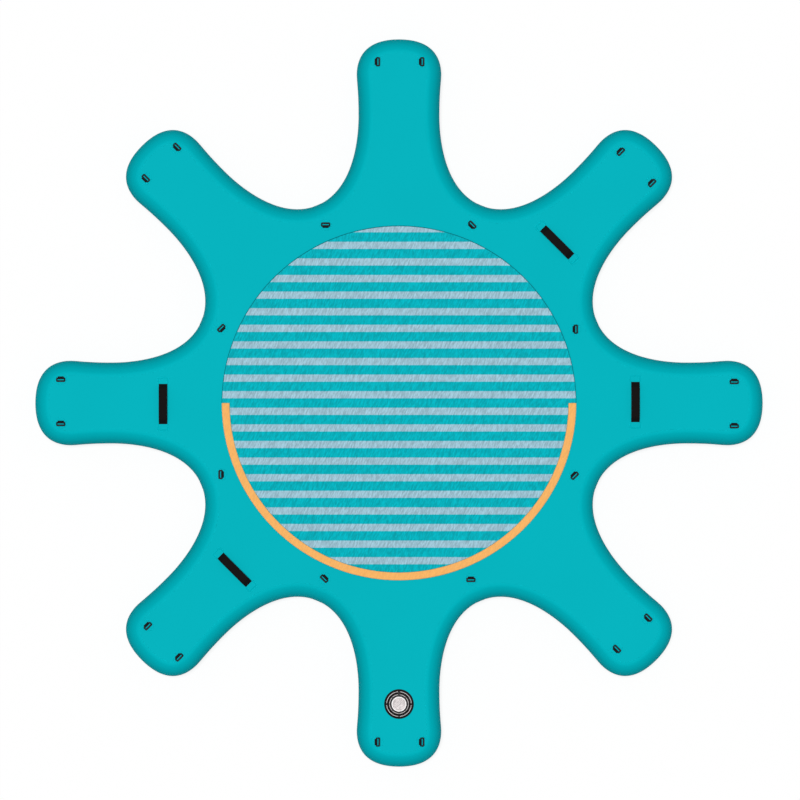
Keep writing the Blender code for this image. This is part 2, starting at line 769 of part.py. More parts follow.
def make_valve_housing():
    """The fixed pieces of the valve: surround, body, gasket and nut."""
    surround = [
        (SURROUND_RADIUS - 0.0005, SURROUND_TOP),
        (SURROUND_RADIUS, GAP),
        (PANEL_HOLE_RADIUS, GAP),
        (PANEL_HOLE_RADIUS, SURROUND_TOP),
    ]
    turned("valve_surround", surround, "black_rubber", VALVE_PLACE)
    floor_top = FLOOR_THICKNESS - BODY_DEPTH
    stem_hole = STEM_RADIUS + STEM_CLEARANCE
    body = [
        (FLANGE_RADIUS - 0.001, FLANGE_TOP),
        (FLANGE_RADIUS, FLANGE_TOP - 0.001),
        (FLANGE_RADIUS, FLANGE_FOOT),
        (NECK_RADIUS, FLANGE_FOOT),
        (NECK_RADIUS, -BODY_DEPTH),
        (stem_hole, -BODY_DEPTH),
        (stem_hole, floor_top),
        (SOCKET_RADIUS, floor_top),
        (SOCKET_RADIUS, FLANGE_TOP - 0.0006),
        (SOCKET_RADIUS + 0.0006, FLANGE_TOP),
    ]
    part = turned("valve_body", body, "black_plastic", VALVE_PLACE)
    vents = bmesh.new()
    for number in range(VENT_COUNT):
        turn = Matrix.Rotation(2 * math.pi * (number + 0.5) / VENT_COUNT, 4, "Z")
        bmesh.ops.create_cone(
            vents,
            cap_ends=True,
            segments=12,
            radius1=VENT_RADIUS,
            radius2=VENT_RADIUS,
            depth=4 * FLOOR_THICKNESS,
            matrix=turn @ Matrix.Translation((VENT_CIRCLE, 0, FLOOR_THICKNESS / 2 - BODY_DEPTH)),
        )
    combine(part, "vents", vents, "DIFFERENCE", VALVE_PLACE)
    bore = NECK_RADIUS + THREAD_CLEARANCE
    gasket_top = -SKIN - GAP
    gasket_foot = gasket_top - GASKET_THICKNESS
    gasket = [
        (GASKET_RADIUS, gasket_top),
        (GASKET_RADIUS, gasket_foot),
        (bore, gasket_foot),
        (bore, gasket_top),
    ]
    turned("valve_gasket", gasket, "black_rubber", VALVE_PLACE)
    nut_top = gasket_foot - GAP
    nut = [
        (NUT_RADIUS, nut_top),
        (NUT_RADIUS, nut_top - NUT_HEIGHT),
        (bore, nut_top - NUT_HEIGHT),
        (bore, nut_top),
    ]
    turned("valve_nut", nut, "black_plastic", VALVE_PLACE)


def make_valve_works():
    """The moving seal: diaphragm, plunger and the spring that pushes them up."""
    seal_top = -BODY_DEPTH - GAP
    seal_foot = seal_top - DIAPHRAGM_THICKNESS
    hole = STEM_RADIUS + STEM_CLEARANCE
    diaphragm = [
        (DIAPHRAGM_RADIUS, seal_top),
        (DIAPHRAGM_RADIUS, seal_foot),
        (hole, seal_foot),
        (hole, seal_top),
    ]
    turned("valve_diaphragm", diaphragm, "black_rubber", VALVE_PLACE)
    button_foot = BUTTON_TOP - BUTTON_THICKNESS
    foot_top = seal_foot - GAP
    plunger = [
        (0, BUTTON_TOP),
        (BUTTON_RADIUS - 0.0015, BUTTON_TOP),
        (BUTTON_RADIUS, BUTTON_TOP - 0.0015),
        (BUTTON_RADIUS, button_foot),
        (STEM_RADIUS, button_foot),
        (STEM_RADIUS, foot_top),
        (STEM_FOOT_RADIUS, foot_top),
        (STEM_FOOT_RADIUS, foot_top - STEM_FOOT_THICKNESS),
        (0, foot_top - STEM_FOOT_THICKNESS),
    ]
    turned("valve_plunger", plunger, "cap_grey", VALVE_PLACE, ring=False)
    start = FLOOR_THICKNESS - BODY_DEPTH + GAP + SPRING_WIRE / 2
    rise = button_foot - GAP - SPRING_WIRE / 2 - start
    steps = SPRING_TURNS * SPRING_TURN_STEPS
    route = []
    for step in range(steps + 1):
        angle = 2 * math.pi * step / SPRING_TURN_STEPS
        height = start + rise * step / steps
        route.append((SPRING_RADIUS * math.cos(angle), SPRING_RADIUS * math.sin(angle), height))
    spring = tube("valve_spring", route, SPRING_WIRE, closed=False)
    add_part("valve_spring", spring, "spring_steel", VALVE_PLACE)


def make_valve_cap():
    """The cap with its plug and seal, on the leash that it swings open on."""
    inner = PLUG_RADIUS - PLUG_WALL
    plug_foot = FLANGE_TOP - PLUG_DEPTH
    groove = PLUG_RADIUS - SEAL_GROOVE_DEPTH
    seal_height = FLANGE_TOP - SEAL_BELOW_FLANGE
    half_groove = SEAL_RADIUS + GAP
    cap = [
        (0, CAP_TOP - CAP_DISH),
        (CAP_RADIUS - CAP_RIM, CAP_TOP - CAP_DISH),
        (CAP_RADIUS - CAP_RIM + 0.001, CAP_TOP),
        (CAP_RADIUS - 0.001, CAP_TOP),
        (CAP_RADIUS, CAP_TOP - 0.001),
        (CAP_RADIUS, CAP_FOOT),
        (PLUG_RADIUS, CAP_FOOT),
        (PLUG_RADIUS, seal_height + half_groove),
        (groove, seal_height + half_groove),
        (groove, seal_height - half_groove),
        (PLUG_RADIUS, seal_height - half_groove),
        (PLUG_RADIUS, plug_foot),
        (inner, plug_foot),
        (inner, CAP_FOOT - 0.001),
        (0, CAP_FOOT - 0.001),
    ]
    part = turned("valve_cap", cap, "cap_grey", VALVE_PLACE, ring=False)
    length, width, height = CAP_BAR
    bar = bmesh.new()
    size = Matrix.Diagonal((width, length, 2 * height, 1))
    bmesh.ops.create_cube(bar, size=1.0, matrix=size)
    lift = Matrix.Translation((0, 0, CAP_TOP - CAP_DISH))
    combine(part, "cap_bar", bar, "UNION", VALVE_PLACE @ lift @ bearing_turn(CAP_BAR_BEARING))
    ring_middle = groove + GAP + SEAL_RADIUS
    seal = [(ring_middle + x, seal_height + z) for x, z in arc(SEAL_RADIUS, 90, -270, 8)[:-1]]
    turned("cap_seal", seal, "black_rubber", VALVE_PLACE)


def make_leash():
    """The leash ring under the cap, with the tab that bends where the anchor starts."""
    opening = PLUG_RADIUS + 3 * GAP
    half_width = LEASH_WIDTH / 2
    side = math.degrees(math.asin(half_width / LEASH_RING_RADIUS))
    outline = arc(LEASH_RING_RADIUS, 90 + side, 450 - side, VALVE_STEPS)
    end = LEASH_HINGE_REACH - GAP / 2
    outline += [(half_width, end), (-half_width, end)]
    ring = mesh_of_curve(
        flat_curve("cap_leash", [outline, circle(opening, VALVE_STEPS)], LEASH_THICKNESS)
    )
    from_hinge = (0, -LEASH_HINGE_REACH, -LEASH_THICKNESS / 2)
    bmesh.ops.translate(ring, vec=from_hinge, verts=ring.verts)
    top = LEASH_FOOT + LEASH_THICKNESS
    hinge = Matrix.Translation((0, LEASH_HINGE_REACH, top))
    add_part("cap_leash", mesh_from("cap_leash", ring), "black_rubber", VALVE_PLACE @ hinge)
    block = bmesh.new()
    start = LEASH_HINGE_REACH + GAP / 2
    middle = start + ANCHOR_LENGTH / 2
    height = top - FLANGE_FOOT
    size = Matrix.Diagonal((LEASH_WIDTH, ANCHOR_LENGTH, height, 1))
    spot = Matrix.Translation((0, middle, FLANGE_FOOT + height / 2)) @ size
    bmesh.ops.create_cube(block, size=1.0, matrix=spot)
    add_part("leash_anchor", mesh_from("leash_anchor", block), "black_rubber", VALVE_PLACE)


def main():
    """Builds every piece."""
    make_panels()
    make_side_strips()
    make_core()
    make_deck_pad()
    make_d_rings()
    make_handles()
    make_valve_housing()
    make_valve_works()
    make_valve_cap()
    make_leash()


main()
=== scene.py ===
"""Dresses the inflatable star-shaped yoga platform and sets its light and camera.

Lengths are in metres. The platform lies on z = 0, arm 1 points along +Y, and the other
arms follow clockwise, seen from above. On an arm's own plan frame +Y runs outwards.
"""

import logging
import math
from collections.abc import Callable, Iterator, Sequence
from contextlib import contextmanager
from dataclasses import dataclass
from enum import Enum
from itertools import accumulate

import bpy
from bpy.types import Material, NodeSocket, Object, World
from mathutils import Matrix, Vector


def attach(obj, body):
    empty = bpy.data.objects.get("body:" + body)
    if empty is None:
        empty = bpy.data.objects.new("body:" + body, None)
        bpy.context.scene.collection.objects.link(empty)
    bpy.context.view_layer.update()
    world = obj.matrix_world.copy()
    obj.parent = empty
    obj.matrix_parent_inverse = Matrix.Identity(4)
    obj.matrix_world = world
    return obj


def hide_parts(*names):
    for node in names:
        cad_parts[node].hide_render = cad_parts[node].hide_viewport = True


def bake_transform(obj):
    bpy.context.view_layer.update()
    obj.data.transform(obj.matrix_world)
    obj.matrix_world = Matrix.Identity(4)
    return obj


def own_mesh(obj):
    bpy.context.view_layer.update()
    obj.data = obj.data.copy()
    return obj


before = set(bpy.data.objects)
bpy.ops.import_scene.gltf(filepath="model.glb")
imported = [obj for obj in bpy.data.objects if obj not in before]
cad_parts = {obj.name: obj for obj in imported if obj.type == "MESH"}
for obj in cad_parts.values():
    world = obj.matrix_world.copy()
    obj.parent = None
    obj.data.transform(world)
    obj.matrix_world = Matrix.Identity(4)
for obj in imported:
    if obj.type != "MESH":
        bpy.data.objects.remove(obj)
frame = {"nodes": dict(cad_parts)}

LOG = logging.getLogger("yoga_platform")

DECK = 0.150
ARMS = (1, 2, 3, 4, 5, 6, 7, 8)
ARM_ANGLE = 45.0
SIDES = (("a", -1), ("b", 1))
VALVE_CENTRE = (0.0, -1.197)
# How far a bonded piece stands off the hull, and how near two vertices are that become one
BOND, JOIN = 0.0001, 0.00001

# Each arm's pair of tip rings: how far out it lies, and how far to the right of the arm's line
TIP_RINGS = {
    1: (1.357, 0.002), 2: (1.330, 0.003), 3: (1.333, 0.002), 4: (1.304, -0.007),
    5: (1.348, -0.002), 6: (1.333, -0.007), 7: (1.345, 0.007), 8: (1.344, 0.006),
}  # fmt: skip

# The ring inside each bay, numbered by the arm to the bay's right: how far out it lies from the
# centre, and how far to the right of the bay's line
INNER_RINGS = {
    1: (0.765, 0.001), 2: (0.764, -0.003), 3: (0.760, -0.003), 4: (0.754, -0.001),
    5: (0.757, 0.004), 6: (0.757, 0.007), 7: (0.762, 0.008), 8: (0.765, 0.004),
}  # fmt: skip

# Carry handles: how far out each one's middle lies on its arm, and how far to the right of its line
HANDLES = {2: (0.896, -0.007), 3: (0.940, -0.004), 6: (0.931, -0.007), 7: (0.938, -0.004)}

Plan = list[tuple[float, float]]
Station = tuple[Vector, Vector]


class Slot(Enum):
    """The record's material slots."""

    HULL = "hull_teal"
    SIDE = "side_teal"
    INNER = "inner_fabric"
    PAD = "pad_teal"
    BAND = "pad_orange"
    WEBBING = "black_webbing"
    NEOPRENE = "black_neoprene"
    RING = "black_ring"
    PLASTIC = "black_plastic"
    RUBBER = "black_rubber"
    CAP = "cap_grey"
    SPRING = "spring_steel"


# ---- Working with meshes ----


def select_only(piece: Object) -> None:
    """Makes one object the selected and active one.

    Args:
        piece: The object.
    """
    bpy.ops.object.select_all(action="DESELECT")
    piece.select_set(True)
    bpy.context.view_layer.objects.active = piece


@contextmanager
def editing(piece: Object) -> Iterator[None]:
    """Holds a mesh in edit mode, all selected.

    Args:
        piece: The mesh object.
    """
    select_only(piece)
    bpy.ops.object.mode_set(mode="EDIT")
    bpy.ops.mesh.select_all(action="SELECT")
    yield
    bpy.ops.object.mode_set(mode="OBJECT")


def modify(piece: Object, kind: str, **settings: object) -> None:
    """Adds a modifier to a piece and applies it.

    Args:
        piece: The mesh object.
        kind: The modifier's type, such as BEVEL.
        settings: The modifier's own settings.
    """
    select_only(piece)
    step = piece.modifiers.new(kind.lower(), kind)
    for name, value in settings.items():
        setattr(step, name, value)
    bpy.ops.object.modifier_apply(modifier=step.name)


def round_edges(piece: Object, width: float, segments: int) -> None:
    """Rounds a piece's sharp edges."""
    modify(piece, "BEVEL", width=width, segments=segments, limit_method="ANGLE", angle_limit=math.radians(60))


def smooth(piece: Object, degrees: float = 35.0) -> None:
    """Shades a piece smooth and keeps edges sharper than the angle."""
    select_only(piece)
    bpy.ops.object.shade_smooth_by_angle(angle=math.radians(degrees))


def put(piece: Object, place: Matrix) -> Object:
    """Moves a piece's mesh to its place, so that the object stays at the origin.

    Args:
        piece: The piece.
        place: Where its mesh goes.

    Returns:
        The piece.
    """
    piece.data.transform(place @ piece.matrix_world)
    piece.matrix_world = Matrix.Identity(4)
    return piece


def linked(name: str, data: bpy.types.ID) -> Object:
    """Adds an object to the scene.

    Args:
        name: Its name.
        data: Its mesh, curve, lamp or camera.

    Returns:
        The object.
    """
    data.name = name
    made = bpy.data.objects.new(name, data)
    bpy.context.scene.collection.objects.link(made)
    return made


def copy_of(piece: Object, name: str, place: Matrix) -> Object:
    """A copy of a piece at a place, with its own mesh."""
    return put(linked(name, piece.data.copy()), place)


def primitive(add: Callable[..., set[str]], name: str, **sizes: object) -> Object:
    """Adds a primitive with nothing else selected.

    Args:
        add: Its operator.
        name: The new object's name.
        sizes: The operator's settings.

    Returns:
        The mesh object.
    """
    bpy.ops.object.select_all(action="DESELECT")
    add(**sizes)
    bpy.context.object.name = name
    return bpy.context.object


def drawn(
    name: str, points: Sequence, edges: Sequence[tuple[int, int]] = (), faces: Sequence[tuple[int, ...]] = ()
) -> Object:
    """A mesh object from points computed for it.

    Args:
        name: Its name.
        points: Its vertices.
        edges: Its edges, where it has no faces yet.
        faces: Its faces.

    Returns:
        The mesh object.
    """
    mesh = bpy.data.meshes.new(name)
    mesh.from_pydata([tuple(point) for point in points], list(edges), list(faces))
    return linked(name, mesh)


def plate(name: str, outlines: Sequence[Sequence], low: float, high: float, rounding: float = 0.0) -> Object:
    """A flat plate between two heights.

    Args:
        name: The piece's name.
        outlines: Closed plan outlines. The first is its edge, and any others are holes.
        low: Height of its underside.
        high: Height of its upper side.
        rounding: Radius of its edges.

    Returns:
        The plate.
    """
    points: list[tuple[float, float, float]] = []
    edges: list[tuple[int, int]] = []
    for outline in outlines:
        start, count = len(points), len(outline)
        points += [(x, y, low) for x, y in outline]
        edges += [(start + i, start + (i + 1) % count) for i in range(count)]
    piece = drawn(name, points, edges)
    with editing(piece):
        if len(outlines) == 1:
            bpy.ops.mesh.edge_face_add()
        else:
            bpy.ops.mesh.fill(use_beauty=True)
        bpy.ops.mesh.extrude_region_move(TRANSFORM_OT_translate={"value": (0, 0, high - low)})
        bpy.ops.mesh.select_all(action="SELECT")
        bpy.ops.mesh.normals_make_consistent(inside=False)
    if rounding:
        round_edges(piece, rounding, 4)
    smooth(piece)
    return piece


def turned(name: str, profile: Plan, steps: int = 96, hollow: bool = True) -> Object:
    """A piece spun about the Z axis.

    Args:
        name: The piece's name.
        profile: Its (radius, height) points.
        steps: Faces round it.
        hollow: Whether the profile closes on itself, and doesn't start and end on the axis.

    Returns:
        The spun piece.
    """
    edges = [(i, i + 1) for i in range(len(profile) - 1)]
    if hollow:
        edges.append((len(profile) - 1, 0))
    piece = drawn(name, [(radius, 0.0, height) for radius, height in profile], edges)
    with editing(piece):
        bpy.ops.mesh.spin(steps=steps, angle=math.tau, center=(0, 0, 0), axis=(0, 0, 1))
        bpy.ops.mesh.select_all(action="SELECT")
        bpy.ops.mesh.remove_doubles(threshold=JOIN / 5)
        bpy.ops.mesh.normals_make_consistent(inside=False)
    smooth(piece)
    return piece


def lengths_along(points: Sequence[Vector]) -> list[float]:
    """How far along a row of points each one lies."""
    return [0.0, *accumulate((after - before).length for before, after in zip(points, points[1:]))]


def lofted(name: str, sections: Sequence[Sequence[Vector]], closed: bool = False) -> Object:
    """A skin over a row of like sections, with a map of metres along and across it.

    Args:
        name: The piece's name.
        sections: The rows of points, in order.
        closed: Whether each section closes on itself. The two ends are then filled.

    Returns:
        The lofted piece.
    """
    across = len(sections[0])
    points = [point for section in sections for point in section]
    faces = []
    for low in range(0, len(points) - across, across):
        for i in range(across if closed else across - 1):
            j = (i + 1) % across
            faces.append((low + i, low + j, low + across + j, low + across + i))
    if closed:
        faces += [tuple(reversed(range(across))), tuple(range(len(points) - across, len(points)))]
    piece = drawn(name, points, faces=faces)
    along = lengths_along([section[0] for section in sections])
    reach = lengths_along([*sections[0], sections[0][0]])
    loops, chart = piece.data.loops, piece.data.uv_layers.new(name="UVMap")
    for face in piece.data.polygons:
        columns = [loops[k].vertex_index % across for k in face.loop_indices]
        wraps = closed and len(columns) == 4 and max(columns) - min(columns) > 1
        for k, column in zip(face.loop_indices, columns):
            last = across if wraps and column == 0 else column
            chart.data[k].uv = (along[loops[k].vertex_index // across], reach[last])
    with editing(piece):
        if closed:
            bpy.ops.mesh.normals_make_consistent(inside=False)
        else:
            bpy.ops.mesh.flip_normals()
    return piece


def smoothstep(share: float) -> float:
    """An S-shaped rise from 0 to 1."""
    share = max(0.0, min(1.0, share))
    return share * share * (3 - 2 * share)


def arc(radius: float, start: float, end: float, steps: int) -> Plan:
    """Plan points on an arc about the origin, from one angle in degrees to another."""
    turns = [math.radians(start + (end - start) * i / steps) for i in range(steps + 1)]
    return [(radius * math.cos(a), radius * math.sin(a)) for a in turns]


def circle(radius: float, steps: int, centre: tuple[float, float] = (0.0, 0.0)) -> Plan:
    """Plan points round a circle."""
    turns = [math.tau * i / steps for i in range(steps)]
    return [(centre[0] + radius * math.cos(a), centre[1] + radius * math.sin(a)) for a in turns]


def bearing_turn(bearing: float) -> Matrix:
    """Turns +Y to a bearing in degrees, clockwise from above."""
    return Matrix.Rotation(-math.radians(bearing), 4, "Z")


def arm_turn(arm: int) -> Matrix:
    """Turns +Y to an arm's line."""
    return bearing_turn((arm - 1) * ARM_ANGLE)


def arm_place(arm: int, reach: float, offset: float) -> Matrix:
    """A frame on an arm's deck, reach metres out and offset metres to its right."""
    return arm_turn(arm) @ Matrix.Translation((offset, reach, DECK))


# ---- Finishes ----


@dataclass(frozen=True)
class Colour:
    """A colour in 0 to 255 screen values."""

    red: float
    green: float
    blue: float

    def linear(self) -> tuple[float, ...]:
        """The colour as a shader takes it."""
        shares = [value / 255 for value in (self.red, self.green, self.blue)]
        return (*(s / 12.92 if s <= 0.04045 else ((s + 0.055) / 1.055) ** 2.4 for s in shares), 1.0)

    def times(self, factor: float) -> "Colour":
        """The colour made darker or lighter on the screen's scale."""
        return Colour(*(min(255.0, value * factor) for value in (self.red, self.green, self.blue)))


def maths_method(operation: str, reflected: bool = False) -> Callable[..., "Term"]:
    """Makes a method of Term that adds a Math node.

    Args:
        operation: The node's operation.
        reflected: Whether the term comes after the other value.

    Returns:
        The method.
    """

    def method(self: "Term", *others: "Wire") -> "Term":
        """Adds the node."""
        return self.graph.maths(operation, *((*others, self) if reflected else (self, *others)))

    return method


class Term:
    """A number that changes over a surface. Arithmetic on it adds Math nodes."""

    __add__, __radd__ = maths_method("ADD"), maths_method("ADD", reflected=True)
    __sub__, __rsub__ = maths_method("SUBTRACT"), maths_method("SUBTRACT", reflected=True)
    __mul__, __rmul__ = maths_method("MULTIPLY"), maths_method("MULTIPLY", reflected=True)
    __truediv__, __rtruediv__ = maths_method("DIVIDE"), maths_method("DIVIDE", reflected=True)
    __gt__, __lt__ = maths_method("GREATER_THAN"), maths_method("LESS_THAN")
    __abs__, sine = maths_method("ABSOLUTE"), maths_method("SINE")
    fraction, power = maths_method("FRACT"), maths_method("POWER")

    def __init__(self, graph: "Graph", socket: NodeSocket) -> None:
        """Wraps a socket of a node tree."""
        self.graph = graph
        self.socket = socket

    def wave(self, length: float) -> "Term":
        """A sine wave of a length."""
        return (self * (math.tau / length)).sine()

    def between(self, low: float, high: float) -> "Term":
        """A soft rise from 0 at low to 1 at high."""
        ramp = {"Value": self, "From Min": low, "From Max": high}
        return self.graph.term("ShaderNodeMapRange", ramp, {"interpolation_type": "SMOOTHSTEP"})


Wire = Term | NodeSocket | float | tuple
Values = dict[str | int, Wire]


class Graph:
    """The node tree of a material or world, built up in code."""

    def __init__(self, owner: Material | World) -> None:
        """Starts an empty tree.

        Args:
            owner: The material or world.
        """
        owner.use_nodes = True
        self.owner = owner
        self.tree = owner.node_tree
        self.tree.nodes.clear()

    def node(
        self, kind: str, values: Values | None = None, settings: dict[str, object] | None = None
    ) -> bpy.types.NodeOutputs:
        """Adds a node.

        Args:
            kind: Its type.
            values: The values or links of its inputs, by name or number.
            settings: Its own settings, which are set first.

        Returns:
            Its outputs.
        """
        made = self.tree.nodes.new(kind)
        for name, value in (settings or {}).items():
            setattr(made, name, value)
        for name, value in (values or {}).items():
            value = value.socket if isinstance(value, Term) else value
            if isinstance(value, NodeSocket):
                self.tree.links.new(value, made.inputs[name])
            else:
                made.inputs[name].default_value = value
        return made.outputs

    def term(self, kind: str, values: Values, settings: dict[str, object] | None = None) -> Term:
        """Adds a node and gives its first output."""
        return Term(self, self.node(kind, values, settings)[0])

    def maths(self, operation: str, *values: Wire) -> Term:
        """Adds a Math node on the values."""
        return self.term("ShaderNodeMath", dict(enumerate(values)), {"operation": operation})

    def shown(self) -> Term:
        """The rays that show the background: camera, glossy and transmission rays.

        Returns:
            1 for those rays, and 0 for any other.
        """
        rays = self.node("ShaderNodeLightPath")
        seen = self.maths("MAXIMUM", rays["Is Camera Ray"], rays["Is Glossy Ray"])
        return self.maths("MAXIMUM", seen, rays["Is Transmission Ray"])

    def shown_over(self, strength: float) -> Term:
        """1 for the rays that show the background, and the strength for any other."""
        return self.shown() * (1.0 - strength) + strength


@dataclass(frozen=True)
class Finish:
    """What every finish has: a colour, a gloss, and its relief's depth in metres and strength."""

    name: str
    colour: Colour
    specular: float = 0.5
    metallic: float = 0.0
    relief: tuple[float, float] = (0.0003, 0.6)

    def make(self) -> Material:
        """Builds the material, as each kind of finish does in its own way."""
        raise NotImplementedError


class Shader(Graph):
    """The node tree of one finish."""

    def __init__(self, finish: Finish) -> None:
        """Starts the finish's material.

        Args:
            finish: The finish.
        """
        super().__init__(bpy.data.materials.new(finish.name))
        self.finish = finish
        places = self.node("ShaderNodeTexCoord")
        self.point, self.chart = places["Object"], places["UV"]

    def laid(self, point: NodeSocket, turn: float, size: tuple, centre: tuple = (0.0, 0.0)) -> NodeSocket:
        """A point along a pattern's axes, turned by degrees from +X, that count in the size's lengths."""
        values = {"Vector": point, "Location": (*centre, 0.0), "Rotation": (0.0, 0.0, math.radians(turn))}
        return self.node("ShaderNodeMapping", values | {"Scale": size}, {"vector_type": "TEXTURE"})[0]

    def centre_on_valve(self) -> None:
        """Counts points from the valve's centre."""
        self.point = self.laid(self.point, 0.0, (1, 1, 1), VALVE_CENTRE)

    def parts(self, point: NodeSocket) -> list[Term]:
        """The three numbers of a point."""
        return [Term(self, part) for part in self.node("ShaderNodeSeparateXYZ", {0: point})]

    def radius(self) -> Term:
        """The point's distance from the centre, in plan."""
        across, along, _ = self.parts(self.point)
        return (across * across + along * along).power(0.5)

    def noise(self, scale: float, detail: float = 2.0, rough: float = 0.5, point: Wire | None = None) -> Term:
        """Soft noise from 0 to 1."""
        values = {"Vector": point or self.point, "Scale": scale, "Detail": detail, "Roughness": rough}
        return self.term("ShaderNodeTexNoise", values)

    def cells(self, scale: float) -> Term:
        """Distance to the nearest of scattered points."""
        return self.term("ShaderNodeTexVoronoi", {"Vector": self.point, "Scale": scale})

    def mixed(self, factor: Wire, first: Wire, second: Wire) -> NodeSocket:
        """A colour between two others."""
        return self.node("ShaderNodeMix", {0: factor, 6: first, 7: second}, {"data_type": "RGBA"})[2]

    def varied(self, colour: Colour, factor: Term, spread: float) -> NodeSocket:
        """A colour that goes a little darker and lighter with a factor."""
        return self.mixed(factor, colour.times(1 - spread).linear(), colour.times(1 + spread).linear())

    def finished(self, colour: Wire, roughness: Wire, height: Term) -> Material:
        """Joins the surface to the finish's plain values.

        Args:
            colour: The surface's colour.
            roughness: Its roughness.
            height: Its relief, from 0 to 1.

        Returns:
            The material.
        """
        depth, strength = self.finish.relief
        bump = self.node("ShaderNodeBump", {"Strength": strength, "Distance": depth, "Height": height})[0]
        values = {"Base Color": colour, "Roughness": roughness, "Normal": bump}
        plain = {"Specular IOR Level": self.finish.specular, "Metallic": self.finish.metallic}
        skin = self.node("ShaderNodeBsdfPrincipled", values | plain)
        self.node("ShaderNodeOutputMaterial", {"Surface": skin[0]})
        return self.owner


@dataclass(frozen=True)
class CoatedFabric(Finish):
    """Smooth coated fabric, with the faint dimples of the yarns behind it.

    A side strip puckers, and its deeper colour is painted shade for the hull's curved rim, which fades into
    the skins' colour at its top and bottom edges.
    """

    specular: float = 0.012
    relief: tuple[float, float] = (0.0002, 0.6)
    roughness: float = 0.49
    spread: float = 0.022
    # The skins' colour that the side strip's painted shade fades into, and the height over which it fades
    skins: Colour | None = None
    fade: float = 0.05
    pucker: float = 1.6
    pucker_size: tuple[float, float, float] = (0.016, 0.110, 1.0)

    def make(self) -> Material:
        """Builds the material.

        Returns:
            The material.
        """
        shader = Shader(self)
        grain = shader.noise(900.0)
        shade = shader.noise(2.6) * 0.7 + grain * 0.3
        height = shader.cells(95.0) * 0.5 + grain * 0.35
        colour = shader.varied(self.colour, shade, self.spread)
        if self.skins is not None:
            folds = shader.noise(1.0, point=shader.laid(shader.chart, 0.0, self.pucker_size))
            height = height + folds * self.pucker
            # Painted shade: the side strip is darker towards mid-height and takes the skins' colour near its
            # top and bottom
            painted_shade_mask = 1.0 - abs(shader.parts(shader.point)[2] / (DECK / 2) - 1.0)
            edge = shader.varied(self.skins, shade, self.spread)
            colour = shader.mixed(painted_shade_mask.between(0.0, self.fade), edge, colour)
        return shader.finished(colour, grain * 0.10 + self.roughness, height)


@dataclass(frozen=True)
class DeckFoam(Finish):
    """Brushed deck foam, with plain even stripes printed across it, and painted shade darkening its outer
    edge.
    """

    specular: float = 0.10
    relief: tuple[float, float] = (0.0006, 0.65)
    stripe: Colour | None = None
    pitch: float = 0.0660
    share: float = 0.40
    # Past this radius the colour is darkened: painted shade for the foam's rounded outer edge
    rim: float = 0.7026
    painted_shade_tone: float = 0.66
    spread: float = 0.115
    brush_angle: float = 69.0
    brush_size: tuple[float, float, float] = (0.021, 0.0050, 0.021)

    def make(self) -> Material:
        """Builds the material.

        Returns:
            The material.
        """
        shader = Shader(self)
        strokes = shader.laid(shader.point, self.brush_angle, self.brush_size)
        brushed = shader.noise(1.0, 2.0, 0.6, strokes)
        pores = shader.noise(620.0)
        tone = (brushed * 0.75 + pores * 0.25).between(0.28, 0.72)
        colour = shader.varied(self.colour, tone, self.spread)
        if self.stripe is not None:
            wave = abs((shader.parts(shader.point)[1] / self.pitch).fraction() - 0.5) * 2.0
            mask = (brushed * 0.05 + self.share - wave).between(-0.03, 0.03)
            colour = shader.mixed(mask, colour, shader.varied(self.stripe, tone, self.spread))
        # Painted shade: the outer edge is darkened where its bevel turns away from the light
        painted_edge_shade = shader.radius() > self.rim
        colour = shader.mixed(painted_edge_shade, colour, self.colour.times(self.painted_shade_tone).linear())
        return shader.finished(colour, pores * 0.08 + 0.84, brushed * 0.8 + pores * 0.2)


@dataclass(frozen=True)
class Webbing(Finish):
    """Flat woven webbing: ribs across it and lines of warp along it."""

    specular: float = 0.08
    relief: tuple[float, float] = (0.0003, 0.8)
    rib: float = 0.0016
    warp: float = 0.0021

    def make(self) -> Material:
        """Builds the material.

        Returns:
            The material.
        """
        shader = Shader(self)
        along, across, _ = shader.parts(shader.chart)
        lines = across.wave(self.warp)
        ribs = (along * (math.tau / self.rib) + lines * 1.1).sine()
        fuzz = shader.noise(1500.0)
        height = ribs * 0.30 + lines * 0.15 + fuzz * 0.2 + 0.5
        return shader.finished(shader.varied(self.colour, height, 0.30), fuzz * 0.15 + 0.62, height)


@dataclass(frozen=True)
class Neoprene(Finish):
    """Fabric-faced neoprene with a bound and stitched border along its long edges."""

    specular: float = 0.06
    relief: tuple[float, float] = (0.0004, 0.8)
    width: float = 0.034
    border: float = 0.0032
    stitch: float = 0.0032
    stitch_gap: float = 0.28
    knit: float = 0.0011
    thread_tone: float = 2.1

    def make(self) -> Material:
        """Builds the material.

        Returns:
            The material.
        """
        shader = Shader(self)
        along, across, _ = shader.parts(shader.chart)
        fuzz = shader.noise(900.0, 3.0)
        inside = abs(abs(across - self.width) - self.width / 2)
        seam = 1.0 - abs(inside - (self.width / 2 - self.border)).between(0.0003, 0.0009)
        thread = ((along / self.stitch).fraction() > self.stitch_gap) * seam
        knit = along.wave(self.knit) * across.wave(self.knit)
        height = knit * 0.18 + fuzz * 0.3 + thread * 0.5 - seam * 0.4 + 0.4
        cloth, yarn = shader.varied(self.colour, fuzz, 0.22), self.colour.times(self.thread_tone)
        return shader.finished(shader.mixed(thread * 0.55, cloth, yarn.linear()), fuzz * 0.12 + 0.72, height)


@dataclass(frozen=True)
class Grained(Finish):
    """Moulded plastic or drawn wire: a little mottling, and a fine grain in its gloss and relief."""

    specular: float = 0.09
    relief: tuple[float, float] = (0.00008, 0.7)
    mottling: float = 0.10
    spots: tuple[float, float, float] = (260.0, 4.0, 0.6)
    grain: tuple[float, float] = (2400.0, 2.0)
    gloss: tuple[float, float] = (0.16, 0.34)

    def make(self) -> Material:
        """Builds the material.

        Returns:
            The material.
        """
        shader = Shader(self)
        fine = shader.noise(*self.grain)
        colour = shader.varied(self.colour, shader.noise(*self.spots), self.mottling)
        return shader.finished(colour, fine * self.gloss[0] + self.gloss[1], fine)


